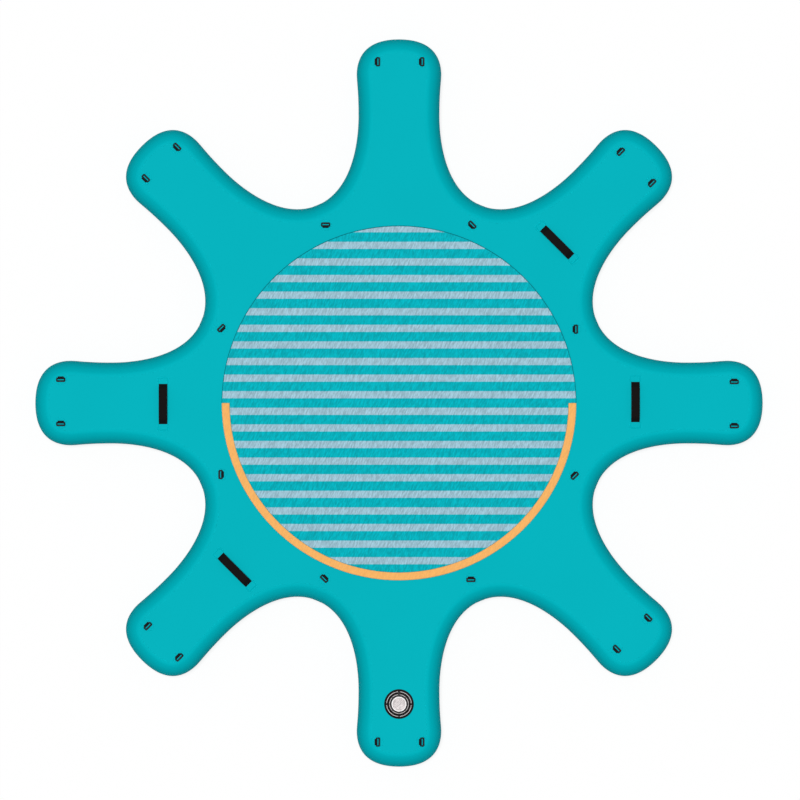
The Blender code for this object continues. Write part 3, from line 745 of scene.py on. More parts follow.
@dataclass(frozen=True)
class CapPlastic(Finish):
    """The cap's pale plastic: a mottled matt face inside a bright smooth rim."""

    rim: Colour = Colour(243, 238, 238)
    rim_radius: float = 0.0254
    blotch_size: tuple[float, float, float] = (0.012, 0.005, 0.012)

    def make(self) -> Material:
        """Builds the material.

        Returns:
            The material.
        """
        shader = Shader(self)
        shader.centre_on_valve()
        blotches = shader.noise(1.0, 4.0, 0.62, shader.laid(shader.point, 35.0, self.blotch_size))
        on_rim = shader.radius().between(self.rim_radius - 0.0003, self.rim_radius + 0.0003)
        face = shader.varied(self.colour, blotches.between(0.34, 0.66), 0.125)
        height = blotches * 0.7 + shader.noise(1800.0) * 0.3
        roughness = blotches * 0.18 + 0.34 - on_rim * 0.10
        return shader.finished(shader.mixed(on_rim, face, self.rim.linear()), roughness, height)


@dataclass(frozen=True)
class RingedRubber(Finish):
    """Black rubber with two thin broken rings moulded in grey.

    Each ring has a radius, half a width, a number of breaks, and half a break's share of its part.
    """

    specular: float = 0.06
    relief: tuple[float, float] = (0.0002, 0.7)
    mark: Colour = Colour(204, 199, 199)
    outer: tuple[float, float, float, float] = (0.0490, 0.0013, 4.0, 0.050)
    inner: tuple[float, float, float, float] = (0.0374, 0.0013, 8.0, 0.046)

    def make(self) -> Material:
        """Builds the material.

        Returns:
            The material.
        """
        shader = Shader(self)
        shader.centre_on_valve()
        across, along, _ = shader.parts(shader.point)
        turn = shader.maths("ARCTAN2", across, along) * (1 / math.tau) + 1.0
        radius, fine = shader.radius(), shader.noise(2000.0, 3.0)
        rings = []
        for middle, half_width, breaks, gap in (self.outer, self.inner):
            line = 1.0 - abs(radius - middle).between(half_width * 0.7, half_width)
            rings.append(line * abs((turn * breaks + 0.5).fraction() - 0.5).between(gap * 0.8, gap))
        marks = rings[0] + rings[1]
        colour = shader.mixed(marks, shader.varied(self.colour, fine, 0.20), self.mark.linear())
        return shader.finished(colour, fine * 0.2 + 0.48, marks * 0.6 + fine * 0.4)


@dataclass(frozen=True)
class WovenCloth(Finish):
    """Plain base cloth inside the hull."""

    pick: float = 0.0018

    def make(self) -> Material:
        """Builds the material.

        Returns:
            The material.
        """
        shader = Shader(self)
        across, along, _ = shader.parts(shader.point)
        weave = across.wave(self.pick) * along.wave(self.pick) * 0.5 + 0.5
        return shader.finished(shader.varied(self.colour, weave, 0.08), weave * 0.1 + 0.8, weave)


SKIN_TEAL = Colour(0, 180, 191)
STEEL_GRAIN = (1500.0, 3.0)

FINISHES: dict[Slot, Finish] = {
    Slot.HULL: CoatedFabric("teal_coated_fabric", SKIN_TEAL),
    # The side fabric's deeper teal is painted shade for the hull's curved rim
    Slot.SIDE: CoatedFabric("teal_side_fabric_painted_shade", Colour(0, 173, 184), skins=SKIN_TEAL),
    Slot.INNER: WovenCloth("white_base_cloth", Colour(214, 220, 222)),
    # Each foam's outer edge is darkened past its rim radius: painted shade for the bevel
    Slot.PAD: DeckFoam("striped_deck_foam", Colour(0, 173, 185), stripe=Colour(154, 191, 206)),
    Slot.BAND: DeckFoam("orange_band_foam", Colour(249, 181, 103), rim=0.7040, spread=0.035),
    Slot.WEBBING: Webbing("black_webbing", Colour(16, 16, 18)),
    Slot.NEOPRENE: Neoprene("black_neoprene", Colour(15, 12, 12)),
    Slot.RING: Grained("black_ring_plastic", Colour(8, 12, 14), mottling=0.16, gloss=(0.16, 0.26)),
    Slot.PLASTIC: Grained("black_valve_plastic", Colour(17, 16, 18), mottling=0.14, gloss=(0.16, 0.32)),
    Slot.RUBBER: RingedRubber("ringed_black_rubber", Colour(13, 9, 11)),
    Slot.CAP: CapPlastic("pale_cap_plastic", Colour(199, 191, 191)),
    Slot.SPRING: Grained(
        "spring_wire", Colour(192, 194, 197), 0.5, 1.0, (0.00005, 0.5), 0.06,
        spots=(*STEEL_GRAIN, 0.5), grain=STEEL_GRAIN, gloss=(0.2, 0.22),
    ),  # fmt: skip
}


class Wardrobe:
    """Every finish, made once, and what puts a piece on its body in its finish."""

    def __init__(self) -> None:
        """Makes the materials."""
        self.materials = {slot: finish.make() for slot, finish in FINISHES.items()}

    def dress(
        self, piece: Object, slot: Slot, body: str | None = "platform", nodes: Sequence[str] = ()
    ) -> None:
        """Gives a piece its finish, its body and the solids that it stands for.

        Args:
            piece: The finished piece.
            slot: Its material slot.
            body: The body that it rides on, or None for a piece that bends between two, which is then put on
                no body.
            nodes: The solids that it replaces.
        """
        piece.data.materials.clear()
        piece.data.materials.append(self.materials[slot])
        if nodes:
            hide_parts(*nodes)
        if body is not None:
            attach(piece, body)
        LOG.info("%s: %d faces, rides on %s", piece.name, len(piece.data.polygons), body)

    def redress(self, node: str, slot: Slot) -> None:
        """Gives a solid that isn't replaced its finish."""
        for place in frame["nodes"][node].material_slots:
            place.material = self.materials[slot]


# ---- The hull ----


def mirrored(stations: Sequence[Station]) -> list[Station]:
    """An outline's stations on the other side of its arm, in their order along the outline."""
    return [(Vector((-p.x, p.y)), Vector((-n.x, n.y))) for p, n in reversed(stations)]


@dataclass(frozen=True)
class StarOutline:
    """Plan outline of the hull, as the right half of one arm that is mirrored and turned."""

    tip: float = 1.450
    tip_handle: float = 0.138
    bulge: tuple[float, float] = (0.1685, 1.307)
    bulge_handles: tuple[float, float] = (0.067, 0.020)
    waist: tuple[float, float] = (0.1612, 1.156)
    waist_handles: tuple[float, float] = (0.085, 0.020)
    bay_radius: float = 0.853
    bay_handle: float = 0.188
    steps: tuple[int, int, int] = (28, 8, 26)
    fineness: int = 12

    def bay(self) -> Vector:
        """The bottom of the bay on arm 1's right."""
        half = math.radians(ARM_ANGLE / 2)
        return self.bay_radius * Vector((math.sin(half), math.cos(half)))

    def curves(self) -> list[tuple[Vector, ...]]:
        """The outline's cubic curves from the tip to the bottom of the bay.

        Returns:
            Each one's start, two handles and end.
        """
        tip, bulge, waist, bay = Vector((0.0, self.tip)), Vector(self.bulge), Vector(self.waist), self.bay()
        along_bay = self.bay_handle * Vector((-bay.y, bay.x)) / self.bay_radius
        across, out = Vector((1.0, 0.0)), Vector((0.0, 1.0))
        return [
            (tip, tip + self.tip_handle * across, bulge + self.bulge_handles[0] * out, bulge),
            (bulge, bulge - self.bulge_handles[1] * out, waist + self.waist_handles[0] * out, waist),
            (waist, waist - self.waist_handles[1] * out, bay + along_bay, bay),
        ]

    def stations(self, curve: tuple[Vector, ...], steps: int) -> list[Station]:
        """Evenly spaced points of a cubic curve, each with the unit vector into the hull.

        Args:
            curve: Its start, two handles and end.
            steps: How many steps they make.

        Returns:
            The points and their vectors.
        """
        start, leave, arrive, end = curve
        dense = []
        for i in range(self.fineness * steps + 1):
            t = i / (self.fineness * steps)
            s = 1 - t
            point = s**3 * start + 3 * s * s * t * leave + 3 * s * t * t * arrive + t**3 * end
            way = s * s * (leave - start) + 2 * s * t * (arrive - leave) + t * t * (end - arrive)
            dense.append((point, Vector((way.y, -way.x)).normalized()))
        run = lengths_along([point for point, _ in dense])
        goals = [run[-1] * step / steps for step in range(steps + 1)]
        return [dense[min(range(len(run)), key=lambda k: abs(run[k] - goal))] for goal in goals]

    def arm(self) -> list[Station]:
        """Arm 1's outline, from the bay on its left, round the tip, to the bay on its right.

        Returns:
            Its stations.
        """
        right: list[Station] = []
        for curve, steps in zip(self.curves(), self.steps):
            right += self.stations(curve, steps)[1 if right else 0 :]
        return mirrored(right[1:]) + right

    def around(self, inset: float) -> list[Vector]:
        """The whole outline, moved into the hull by inset."""
        arm = [point + inward * inset for point, inward in self.arm()[:-1]]
        return [arm_turn(number).to_2x2() @ point for number in ARMS for point in arm]


@dataclass
class Hull:
    """The inflated hull: a top and a bottom skin and the side wall round each arm."""

    wardrobe: Wardrobe
    outline: StarOutline
    skin: float = 0.0015
    shoulder: float = 0.058
    wall_steps: int = 28
    valve_hole: float = 0.0240
    tape_width: float = 0.034
    tape_thickness: float = 0.0006

    def surface(self, inset: float) -> float:
        """Height of the hull's upper surface at a distance in from its outline."""
        share = 1 - min(1.0, max(0.0, inset / self.shoulder))
        return DECK / 2 * (1 + math.sqrt(1 - share * share))

    def inset_at(self, arm: int, point: Vector) -> float:
        """Distance from a plan point on an arm to the outline of that arm."""
        local = arm_turn(arm).inverted().to_2x2() @ point
        return min((station - local).length for station, _ in self.outline.arm())

    def build_skins(self) -> None:
        """Makes the two flat skins."""
        edge = self.outline.around(self.shoulder)
        hole = circle(self.valve_hole, 96, VALVE_CENTRE)
        top = plate("top_skin", [edge, hole], DECK - self.skin, DECK)
        self.wardrobe.dress(top, Slot.HULL, nodes=("top_panel",))
        bottom = plate("bottom_skin", [edge], 0.0, self.skin)
        self.wardrobe.dress(bottom, Slot.SIDE, nodes=("bottom_panel",))

    def wall_profile(self) -> Plan:
        """Insets and heights down the side wall, from the top skin to the bottom skin."""
        turns = [math.pi / 2 - math.pi * step / self.wall_steps for step in range(self.wall_steps + 1)]
        return [(self.shoulder * (1 - math.cos(turn)), DECK / 2 * (1 + math.sin(turn))) for turn in turns]

    def wall(self, name: str, stations: Sequence[Station], profile: Plan, thickness: float) -> Object:
        """A stretch of wall in arm 1's frame.

        Args:
            name: Its name.
            stations: The outline's points that it follows.
            profile: Its insets and heights.
            thickness: How thick it is, inwards, or outwards where this is less than 0.

        Returns:
            The wall.
        """
        sections = [
            [Vector((*(point + inward * inset), height)) for inset, height in profile]
            for point, inward in stations
        ]
        wall = lofted(name, sections)
        offset = math.copysign(1.0, -thickness)
        modify(wall, "SOLIDIFY", thickness=abs(thickness), offset=offset, use_even_offset=True)
        smooth(wall, 50)
        return wall

    def build_walls(self) -> None:
        """Makes the side wall round each arm."""
        for arm in ARMS:
            wall = self.wall(f"side_wall_{arm}", self.outline.arm(), self.wall_profile(), self.skin)
            self.wardrobe.dress(put(wall, arm_turn(arm)), Slot.SIDE, nodes=(f"side_strip_{arm}",))

    def build_seam_tapes(self) -> None:
        """Makes the tape over each joint of the side wall, at the bottom of a bay."""
        bay, turn = self.outline.bay(), arm_turn(2).to_2x2()
        near = [(p, n) for p, n in self.outline.arm() if p.x > 0 and (p - bay).length <= self.tape_width / 2]
        near += [(turn @ point, turn @ inward) for point, inward in mirrored(near[:-1])]
        profile = [(inset - BOND, height) for inset, height in self.wall_profile()[1:-1]]
        for number in ARMS:
            tape = self.wall(f"seam_tape_{number}", near, profile, -self.tape_thickness)
            self.wardrobe.dress(put(tape, arm_turn(number)), Slot.SIDE)

    def build(self) -> None:
        """Makes the hull."""
        self.build_skins()
        self.build_walls()
        self.build_seam_tapes()
        self.wardrobe.redress("drop_stitch_core", Slot.INNER)


# ---- The deck pad ----


@dataclass
class DeckPad:
    """The round foam pad and the coloured band set into the edge of its lower half."""

    wardrobe: Wardrobe
    radius: float = 0.705
    band: float = 0.031
    joint: float = 0.0006
    foot: float = DECK + 0.0002
    top: float = DECK + 0.0053
    edge: float = 0.0022
    steps: int = 180

    def build(self) -> None:
        """Makes the pad and its band."""
        inner = self.radius - self.band
        upper = [(x, y + self.joint) for x, y in arc(self.radius, 0, 180, self.steps)]
        lower = arc(inner - self.joint, 180, 360, self.steps)
        pad = plate("striped_pad", [upper + lower], self.foot, self.top, self.edge)
        self.wardrobe.dress(pad, Slot.PAD, nodes=("deck_pad",))
        outline = arc(self.radius, 180, 360, self.steps) + arc(inner, 360, 180, self.steps)
        band = plate("orange_edge_band", [outline], self.foot, self.top, self.edge)
        self.wardrobe.dress(band, Slot.BAND, nodes=("pad_accent_band",))


# ---- Rings, webbing and patches ----


@dataclass(frozen=True)
class RingSpot:
    """Where one D-ring is fixed, and the bearing that it lies towards."""

    node: str
    arm: int
    middle: Vector
    facing: float
    on_tip: bool


@dataclass
class TieDowns:
    """The D-rings, each in a loop of webbing on a bonded patch."""

    wardrobe: Wardrobe
    hull: Hull
    length: float = 0.0370
    depth: float = 0.0182
    wire: float = 0.0052
    frame: tuple[float, float] = (0.0006, 0.0020)
    corner: float = 0.0030
    tip_offset: float = 0.088
    to_bar: float = 0.00425
    bar_height: float = 0.0047
    lean_drop: float = 0.0010
    loop_width: float = 0.024
    loop_inner: float = 0.0030
    loop_cloth: float = 0.0016
    loop_wrap: float = 225.0
    tail: float = 0.0067
    tail_steps: int = 8
    bend_steps: int = 18
    patch_radius: float = 0.024
    patch_cloth: float = 0.0008
    patch_rings: int = 5
    cloth_edges: tuple[float, float] = (0.00025, 0.0003)

    def spots(self) -> list[RingSpot]:
        """Every ring's place: two at each tip, and one inside each bay.

        Returns:
            The places.
        """
        found = []
        for arm in ARMS:
            facing = (arm - 1) * ARM_ANGLE + (90 if arm in (1, 2, 3, 8) else -90)
            reach, shift = TIP_RINGS[arm]
            for letter, side in SIDES:
                middle = arm_place(arm, reach, shift + side * self.tip_offset).translation
                found.append(RingSpot(f"d_ring_tip_{arm}{letter}", arm, middle, facing, True))
        for arm in ARMS:
            bearing = (arm - 1) * ARM_ANGLE
            reach, shift = INNER_RINGS[arm]
            middle = bearing_turn(bearing - ARM_ANGLE / 2) @ Vector((shift, reach, DECK))
            found.append(RingSpot(f"d_ring_inner_{arm}", arm, middle, bearing, False))
        return found

    def bar(self, spot: RingSpot) -> Matrix:
        """The frame on a ring's bar: X along it, and Y towards the free side."""
        shift = Matrix.Translation((0, -self.to_bar, self.bar_height))
        return Matrix.Translation(spot.middle) @ bearing_turn(spot.facing) @ shift

    def ring_pattern(self) -> Object:
        """One ring round its bar: a small torus drawn out into an oblong, with a wider frame.

        Returns:
            The ring.
        """
        sizes = {"major_radius": self.corner, "minor_radius": self.wire / 2}
        torus = bpy.ops.mesh.primitive_torus_add
        ring = primitive(torus, "ring_pattern", major_segments=40, minor_segments=14, **sizes)
        half = (self.length - self.wire) / 2 - self.corner
        far = self.depth - self.wire - self.corner
        for vert in ring.data.vertices:
            inward = max(0.0, 2 * (self.corner - vert.co.xy.length) / self.wire)
            vert.co.x += math.copysign(half - inward * self.frame[0], vert.co.x)
            vert.co.y += far - inward * self.frame[1] if vert.co.y > 0 else self.corner
        modify(ring, "WELD", merge_threshold=JOIN)
        smooth(ring, 60)
        return ring

    def loop_pattern(self) -> Object:
        """One loop of webbing round the bar, with its tail sewn flat behind it.

        Returns:
            The loop.
        """
        mean = self.loop_inner + self.loop_cloth / 2
        route = [(-self.tail + step * self.tail / self.tail_steps, -mean) for step in range(self.tail_steps)]
        route += arc(mean, -90, self.loop_wrap - 90, self.bend_steps)
        last_y, last_z = route[-1]
        lift = -mean + self.loop_cloth * 1.02
        for step in range(1, self.tail_steps + 1):
            share = step / self.tail_steps
            fall = smoothstep(share * 1.15)
            route.append((last_y + (-self.tail - last_y) * share, last_z + (lift - last_z) * fall))
        half = self.loop_width / 2
        across = [-half, -half * 0.94, 0.0, half * 0.94, half]
        loop = lofted("loop_pattern", [[Vector((x, y, z)) for x in across] for y, z in route])
        modify(loop, "SOLIDIFY", thickness=self.loop_cloth, offset=0.0, use_even_offset=True)
        round_edges(loop, self.cloth_edges[0], 2)
        smooth(loop, 50)
        return loop

    def patch(self, spot: RingSpot) -> Object:
        """The round patch under a ring, bent down over the hull's shoulder at a tip.

        Args:
            spot: The ring's place.

        Returns:
            The patch.
        """
        name, radius = spot.node.replace("d_ring", "ring_patch"), self.patch_radius
        sizes = {"vertices": 56, "radius": radius, "fill_type": "NGON"}
        disc = primitive(bpy.ops.mesh.primitive_circle_add, name, **sizes)
        with editing(disc):
            for _ in range(self.patch_rings):
                bpy.ops.mesh.inset(thickness=radius / (self.patch_rings + 1))
        put(disc, Matrix.Translation((spot.middle.x, spot.middle.y, 0.0)))
        for vert in disc.data.vertices:
            inset = self.hull.inset_at(spot.arm, vert.co.xy) if spot.on_tip else self.hull.shoulder
            vert.co.z = self.hull.surface(inset) + BOND
        modify(disc, "SOLIDIFY", thickness=self.patch_cloth - BOND, offset=1.0)
        round_edges(disc, self.cloth_edges[1], 2)
        smooth(disc, 40)
        return disc

    def build(self) -> None:
        """Makes every ring with its loop and patch."""
        ring, loop = self.ring_pattern(), self.loop_pattern()
        lean = Matrix.Rotation(-math.asin(self.lean_drop / (self.depth - self.wire)), 4, "X")
        for spot in self.spots():
            bar = self.bar(spot)
            made = copy_of(ring, spot.node.replace("d_ring", "ring"), bar @ lean)
            self.wardrobe.dress(made, Slot.RING, spot.node, (spot.node,))
            webbing = copy_of(loop, spot.node.replace("d_ring", "webbing_loop"), bar)
            self.wardrobe.dress(webbing, Slot.WEBBING)
            self.wardrobe.dress(self.patch(spot), Slot.HULL)
        bpy.data.objects.remove(ring)
        bpy.data.objects.remove(loop)


# ---- Carry handles ----


@dataclass
class CarryHandle:
    """One padded handle that stands on its strap between two bonded pockets.

    The outline is a quarter of its section in the middle: distances from its middle line across,
    with half the thickness there. A pocket's channel over the strap has half its width and how far
    its side takes to fall, and its mouth the same for its end.
    """

    wardrobe: Wardrobe
    arm: int
    length: float = 0.160
    grip: float = 0.116
    rise: float = 0.0190
    crown: float = 0.0025
    outline: tuple[tuple[float, float], ...] = (
        (0.0170, 0.00049), (0.0170, 0.0014), (0.0144, 0.0014), (0.0128, 0.00175),
        (0.0103, 0.002604), (0.0060, 0.0028), (0.0, 0.0028),
    )  # fmt: skip
    belly: float = 0.9
    thinning: float = 0.85
    strap: float = 0.0009
    strap_height: float = 0.0011
    tuck: float = 0.012
    pocket_length: float = 0.031
    pocket_width: float = 0.0456
    pocket_wall: float = 0.0008
    pocket_height: float = 0.0032
    pocket_rows: int = 30
    channel: tuple[float, float] = (0.0174, 0.0030)
    mouth: tuple[float, float] = (0.0215, 0.0040)

    def middle_line(self, x: float) -> float:
        """Height of the handle's middle line over the deck.

        Args:
            x: The place along the handle, from its middle.

        Returns:
            The height.
        """
        half = self.grip / 2
        if abs(x) <= half:
            return self.rise + self.crown * math.cos(math.pi / 2 * x / half)
        share = (abs(x) - half) / (self.length / 2 - half)
        return self.rise + (self.strap_height - self.rise) * smoothstep(share)

    def section(self, x: float) -> list[Vector]:
        """The handle's cross-section: thick in the middle and thin along its bound edges.

        Args:
            x: The place along the handle, from its middle.

        Returns:
            The points round it.
        """
        beyond = (abs(x) - self.grip / 2) / (self.length / 2 - self.grip / 2)
        fullness = 1.0 - self.thinning * smoothstep(beyond)
        slope = (self.middle_line(x + 0.0005) - self.middle_line(x - 0.0005)) / 0.001
        normal = Vector((-slope, 0.0, 1.0)).normalized()
        upper = [(y, self.strap + (t - self.strap) * fullness) for y, t in self.outline]
        rim = upper + [(-y, t) for y, t in reversed(upper[:-1])]
        lower = [(y, -t * self.belly) for y, t in reversed(rim)]
        return [Vector((x, y, self.middle_line(x))) + normal * t for y, t in rim + lower]

    def stretch(self, name: str, start: float, end: float, steps: int) -> Object:
        """A stretch of the handle between two places along it.

        Args:
            name: Its name.
            start: Where it starts.
            end: Where it ends.
            steps: Faces along it.

        Returns:
            The piece.
        """
        sections = [self.section(start + (end - start) * step / steps) for step in range(steps + 1)]
        piece = lofted(name, sections, closed=True)
        smooth(piece, 42)
        return piece

    def pocket(self, name: str, side: int) -> Object:
        """The bonded pocket over one end of the strap.

        Args:
            name: Its name.
            side: The end that it lies at, -1 or 1.

        Returns:
            The pocket.
        """
        shares = [step / self.pocket_rows for step in range(self.pocket_rows + 1)]
        sections = []
        for x in [self.pocket_length * share for share in shares]:
            ends = 1 - smoothstep((x - self.mouth[0]) / self.mouth[1])
            line = []
            for y in [self.pocket_width * (share - 0.5) for share in shares]:
                over = 1 - smoothstep((abs(y) - self.channel[0]) / self.channel[1])
                lift = self.pocket_wall + (self.pocket_height - self.pocket_wall) * over * ends
                line.append(Vector((side * (self.length / 2 + x), y * side, lift)))
            sections.append(line)
        piece = lofted(name, sections)
        modify(piece, "SOLIDIFY", thickness=self.pocket_wall - BOND, offset=-1.0)
        smooth(piece, 45)
        return piece

    def build(self) -> None:
        """Makes the handle."""
        body = f"handle_{self.arm}"
        place = arm_place(self.arm, *HANDLES[self.arm])
        cut = self.grip / 2
        grip = put(self.stretch(f"handle_pad_{self.arm}", -cut, cut, steps=40), place)
        self.wardrobe.dress(grip, Slot.NEOPRENE, body, (f"handle_grip_{self.arm}",))
        for letter, side in SIDES:
            name, foot = f"handle_end_{self.arm}{letter}", self.length / 2
            end = put(self.stretch(name, side * cut, side * (foot + self.tuck), steps=26), place)
            self.wardrobe.dress(end, Slot.NEOPRENE, None, (f"handle_strap_{self.arm}",))
            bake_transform(end)
            pocket = put(self.pocket(f"handle_pocket_{self.arm}{letter}", side), place)
            self.wardrobe.dress(pocket, Slot.HULL)


# ---- The air valve ----


@dataclass
class AirValve:
    """The inflation valve with its surround, cap and leash. Heights are over the deck.

    A groove of the surround has its start, bottom and end, counted from the axis, and its depth.
    """

    wardrobe: Wardrobe
    surround_radius: float = 0.0590
    surround_top: float = 0.0015
    surround_foot: float = 0.0002
    surround_bore: float = 0.0240
    grooves: tuple[tuple[float, ...], ...] = (
        (0.0345, 0.0350, 0.0354, 0.0004), (0.0428, 0.0432, 0.0436, 0.0003),
    )  # fmt: skip
    flange_radius: float = 0.0340
    flange_foot: float = 0.0018
    flange_top: float = 0.0048
    neck: float = 0.0230
    socket: float = 0.0180
    depth: float = 0.0300
    floor: float = 0.0030
    vent_radius: float = 0.0045
    vent_circle: float = 0.0112
    stem: float = 0.0030
    stem_gap: float = 0.0004
    button: float = 0.0065
    button_foot: float = -0.0080
    button_height: float = 0.0040
    retainer: float = 0.0070
    retainer_top: float = -0.0326
    retainer_foot: float = -0.0351
    spring_radius: float = 0.0050
    spring_wire: float = 0.0005
    spring_gap: float = 0.0008
    spring_turns: int = 5
    cap_radius: float = 0.02975
    cap_foot: float = 0.0069
    cap_top: float = 0.0113
    dish: float = 0.0016
    dish_radius: float = 0.0246
    lip: float = 0.0014
    plug: float = 0.0172
    plug_wall: float = 0.0030
    plug_depth: float = 0.0060
    seal: float = 0.0007
    seal_gap: float = 0.0003
    seal_groove: float = 0.0013
    seal_depth: float = 0.0020
    bar_size: tuple[float, float, float] = (0.007, 0.042, 0.0044)
    bar_edge: float = 0.0014
    leash_foot: float = 0.0051
    leash_top: float = 0.0066
    leash_radius: float = 0.0240
    leash_bore: float = 0.0181
    leash_width: float = 0.009
    leash_stub: float = 0.0300
    leash_steps: int = 48
    hinge: float = 0.0380
    bend: float = 0.0030
    tab_end: float = 0.0505
    boss_reach: float = 0.0455
    boss: float = 0.0044
    boss_top: float = 0.0070
    edge: float = 0.0006

    @property
    def place(self) -> Matrix:
        """The valve's centre on the deck."""
        return Matrix.Translation((*VALVE_CENTRE, DECK))

    def add(
        self, piece: Object, slot: Slot, body: str | None = "platform", nodes: Sequence[str] = ()
    ) -> None:
        """Puts a piece of the valve in its place and dresses it."""
        self.wardrobe.dress(put(piece, self.place), slot, body, nodes)

    def build_surround(self) -> None:
        """Makes the moulded disc that is bonded to the hull, with two thin grooves."""
        rim, top = self.surround_radius, self.surround_top
        profile = [(rim - 0.0016, top), (rim - self.edge, top - 0.0003), (rim, self.surround_foot)]
        profile += [(self.surround_bore, self.surround_foot), (self.surround_bore, top)]
        for start, bottom, end, depth in self.grooves:
            profile += [(start, top), (bottom, top - depth), (end, top)]
        disc = turned("valve_disc", profile, steps=160)
        self.add(disc, Slot.RUBBER, nodes=("valve_surround",))

    def build_housing(self) -> None:
        """Makes the socket with its flange and its four vents."""
        hole, floor_top = self.stem + self.stem_gap, self.floor - self.depth
        top, low_top = self.flange_top, self.flange_top - self.edge
        flange = [(self.flange_radius - self.edge, top), (self.flange_radius, low_top)]
        outside = [(self.flange_radius, self.flange_foot), (self.neck, self.flange_foot)]
        floor = [(self.neck, -self.depth), (hole, -self.depth), (hole, floor_top)]
        mouth = [(self.socket, floor_top), (self.socket, low_top), (self.socket + self.edge, top)]
        housing = turned("valve_housing", flange + outside + floor + mouth, steps=112)
        for x, y in arc(self.vent_circle, 45, 315, 3):
            sizes = {"vertices": 40, "radius": self.vent_radius, "depth": 4 * self.floor}
            place = (x, y, -self.depth)
            drill = primitive(bpy.ops.mesh.primitive_cylinder_add, "drill", location=place, **sizes)
            modify(housing, "BOOLEAN", operation="DIFFERENCE", solver="EXACT", object=drill)
            bpy.data.objects.remove(drill)
        modify(housing, "WELD", merge_threshold=JOIN)
        smooth(housing)
        self.add(housing, Slot.PLASTIC, nodes=("valve_body",))

    def build_plunger(self) -> None:
        """Makes the push button with its stem and the retainer under the diaphragm."""
        top = self.button_foot + self.button_height
        head = [(0.0, top), (0.0042, top), (0.0058, top - 0.0006), (self.button, top - 0.0018)]
        stem = [(self.button, self.button_foot), (self.stem, self.button_foot)]
        foot = [(self.stem, self.retainer_top), (self.retainer, self.retainer_top)]
        sole = [(self.retainer, self.retainer_foot), (0.0, self.retainer_foot)]
        plunger = turned("valve_button", head + stem + foot + sole, steps=64, hollow=False)
        self.add(plunger, Slot.CAP, "valve_plunger", ("valve_plunger",))

    def build_spring(self) -> None:
        """Makes the spring between the floor and the button, and dresses the hidden pieces."""
        low = self.floor - self.depth + self.spring_gap
        high = self.button_foot - self.spring_gap
        curve = bpy.data.curves.new("spring_wire", "CURVE")
        curve.dimensions = "3D"
        curve.bevel_depth = self.spring_wire
        curve.bevel_resolution = 3
        curve.use_fill_caps = True
        spline = curve.splines.new("POLY")
        steps = 28 * self.spring_turns
        spline.points.add(steps)
        rounds = arc(self.spring_radius, 0, 360 * self.spring_turns, steps)
        for i, (point, (x, y)) in enumerate(zip(spline.points, rounds)):
            point.co = (x, y, low + (high - low) * i / steps, 1)
        spring = linked("coil_spring", curve)
        select_only(spring)
        bpy.ops.object.convert(target="MESH")
        modify(spring, "WELD", merge_threshold=JOIN)
        smooth(spring, 60)
        self.add(spring, Slot.SPRING, nodes=("valve_spring",))
        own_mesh(spring)
        for node in ("valve_nut", "valve_gasket", "valve_diaphragm"):
            self.wardrobe.redress(node, Slot.PLASTIC)

    def build_cap(self) -> None:
        """Makes the cap, with its grip bar, and its seal."""
        radius, foot, top, dish = self.cap_radius, self.cap_foot, self.cap_top, self.dish_radius
        face, plug_foot = top - self.dish, self.flange_top - self.plug_depth
        inner, groove = self.plug - self.plug_wall, self.plug - self.seal_groove
        height, half = self.flange_top - self.seal_depth, self.seal + self.seal_gap
        hollow = [(0.0, face), (dish - self.edge, face), (dish, face + 0.0003), (dish + 0.0008, top - 0.0003)]
        rim = [(dish + self.lip, top), (radius - self.lip, top), (radius - 0.0004, top - 0.0004)]
        side = [(radius, top - self.lip), (radius, foot), (self.plug, foot), (self.plug, height + half)]
        slot = [(groove, height + half), (groove, height - half), (self.plug, height - half)]
        under = [(self.plug, plug_foot), (inner, plug_foot), (inner, foot - 0.0010), (0.0, foot - 0.0010)]
        cap = turned("valve_cap_top", hollow + rim + side + slot + under, steps=128, hollow=False)
        bar = primitive(bpy.ops.mesh.primitive_cube_add, "grip_bar", size=1.0)
        bar.data.transform(Matrix.Diagonal((*self.bar_size, 1)))
        modify(bar, "BEVEL", width=self.bar_edge, segments=4, limit_method="NONE")
        put(bar, Matrix.Translation((0, 0, face)) @ bearing_turn(45))
        modify(cap, "BOOLEAN", operation="UNION", solver="EXACT", object=bar)
        bpy.data.objects.remove(bar)
        smooth(cap, 38)
        self.add(cap, Slot.CAP, "valve_cap", ("valve_cap",))
        sizes = {"major_radius": groove + half, "minor_radius": self.seal}
        torus = bpy.ops.mesh.primitive_torus_add
        seal = primitive(torus, "cap_seal_ring", major_segments=96, minor_segments=14, **sizes)
        put(seal, Matrix.Translation((0, 0, height)))
        smooth(seal, 60)
        self.add(seal, Slot.PLASTIC, "valve_cap", ("cap_seal",))

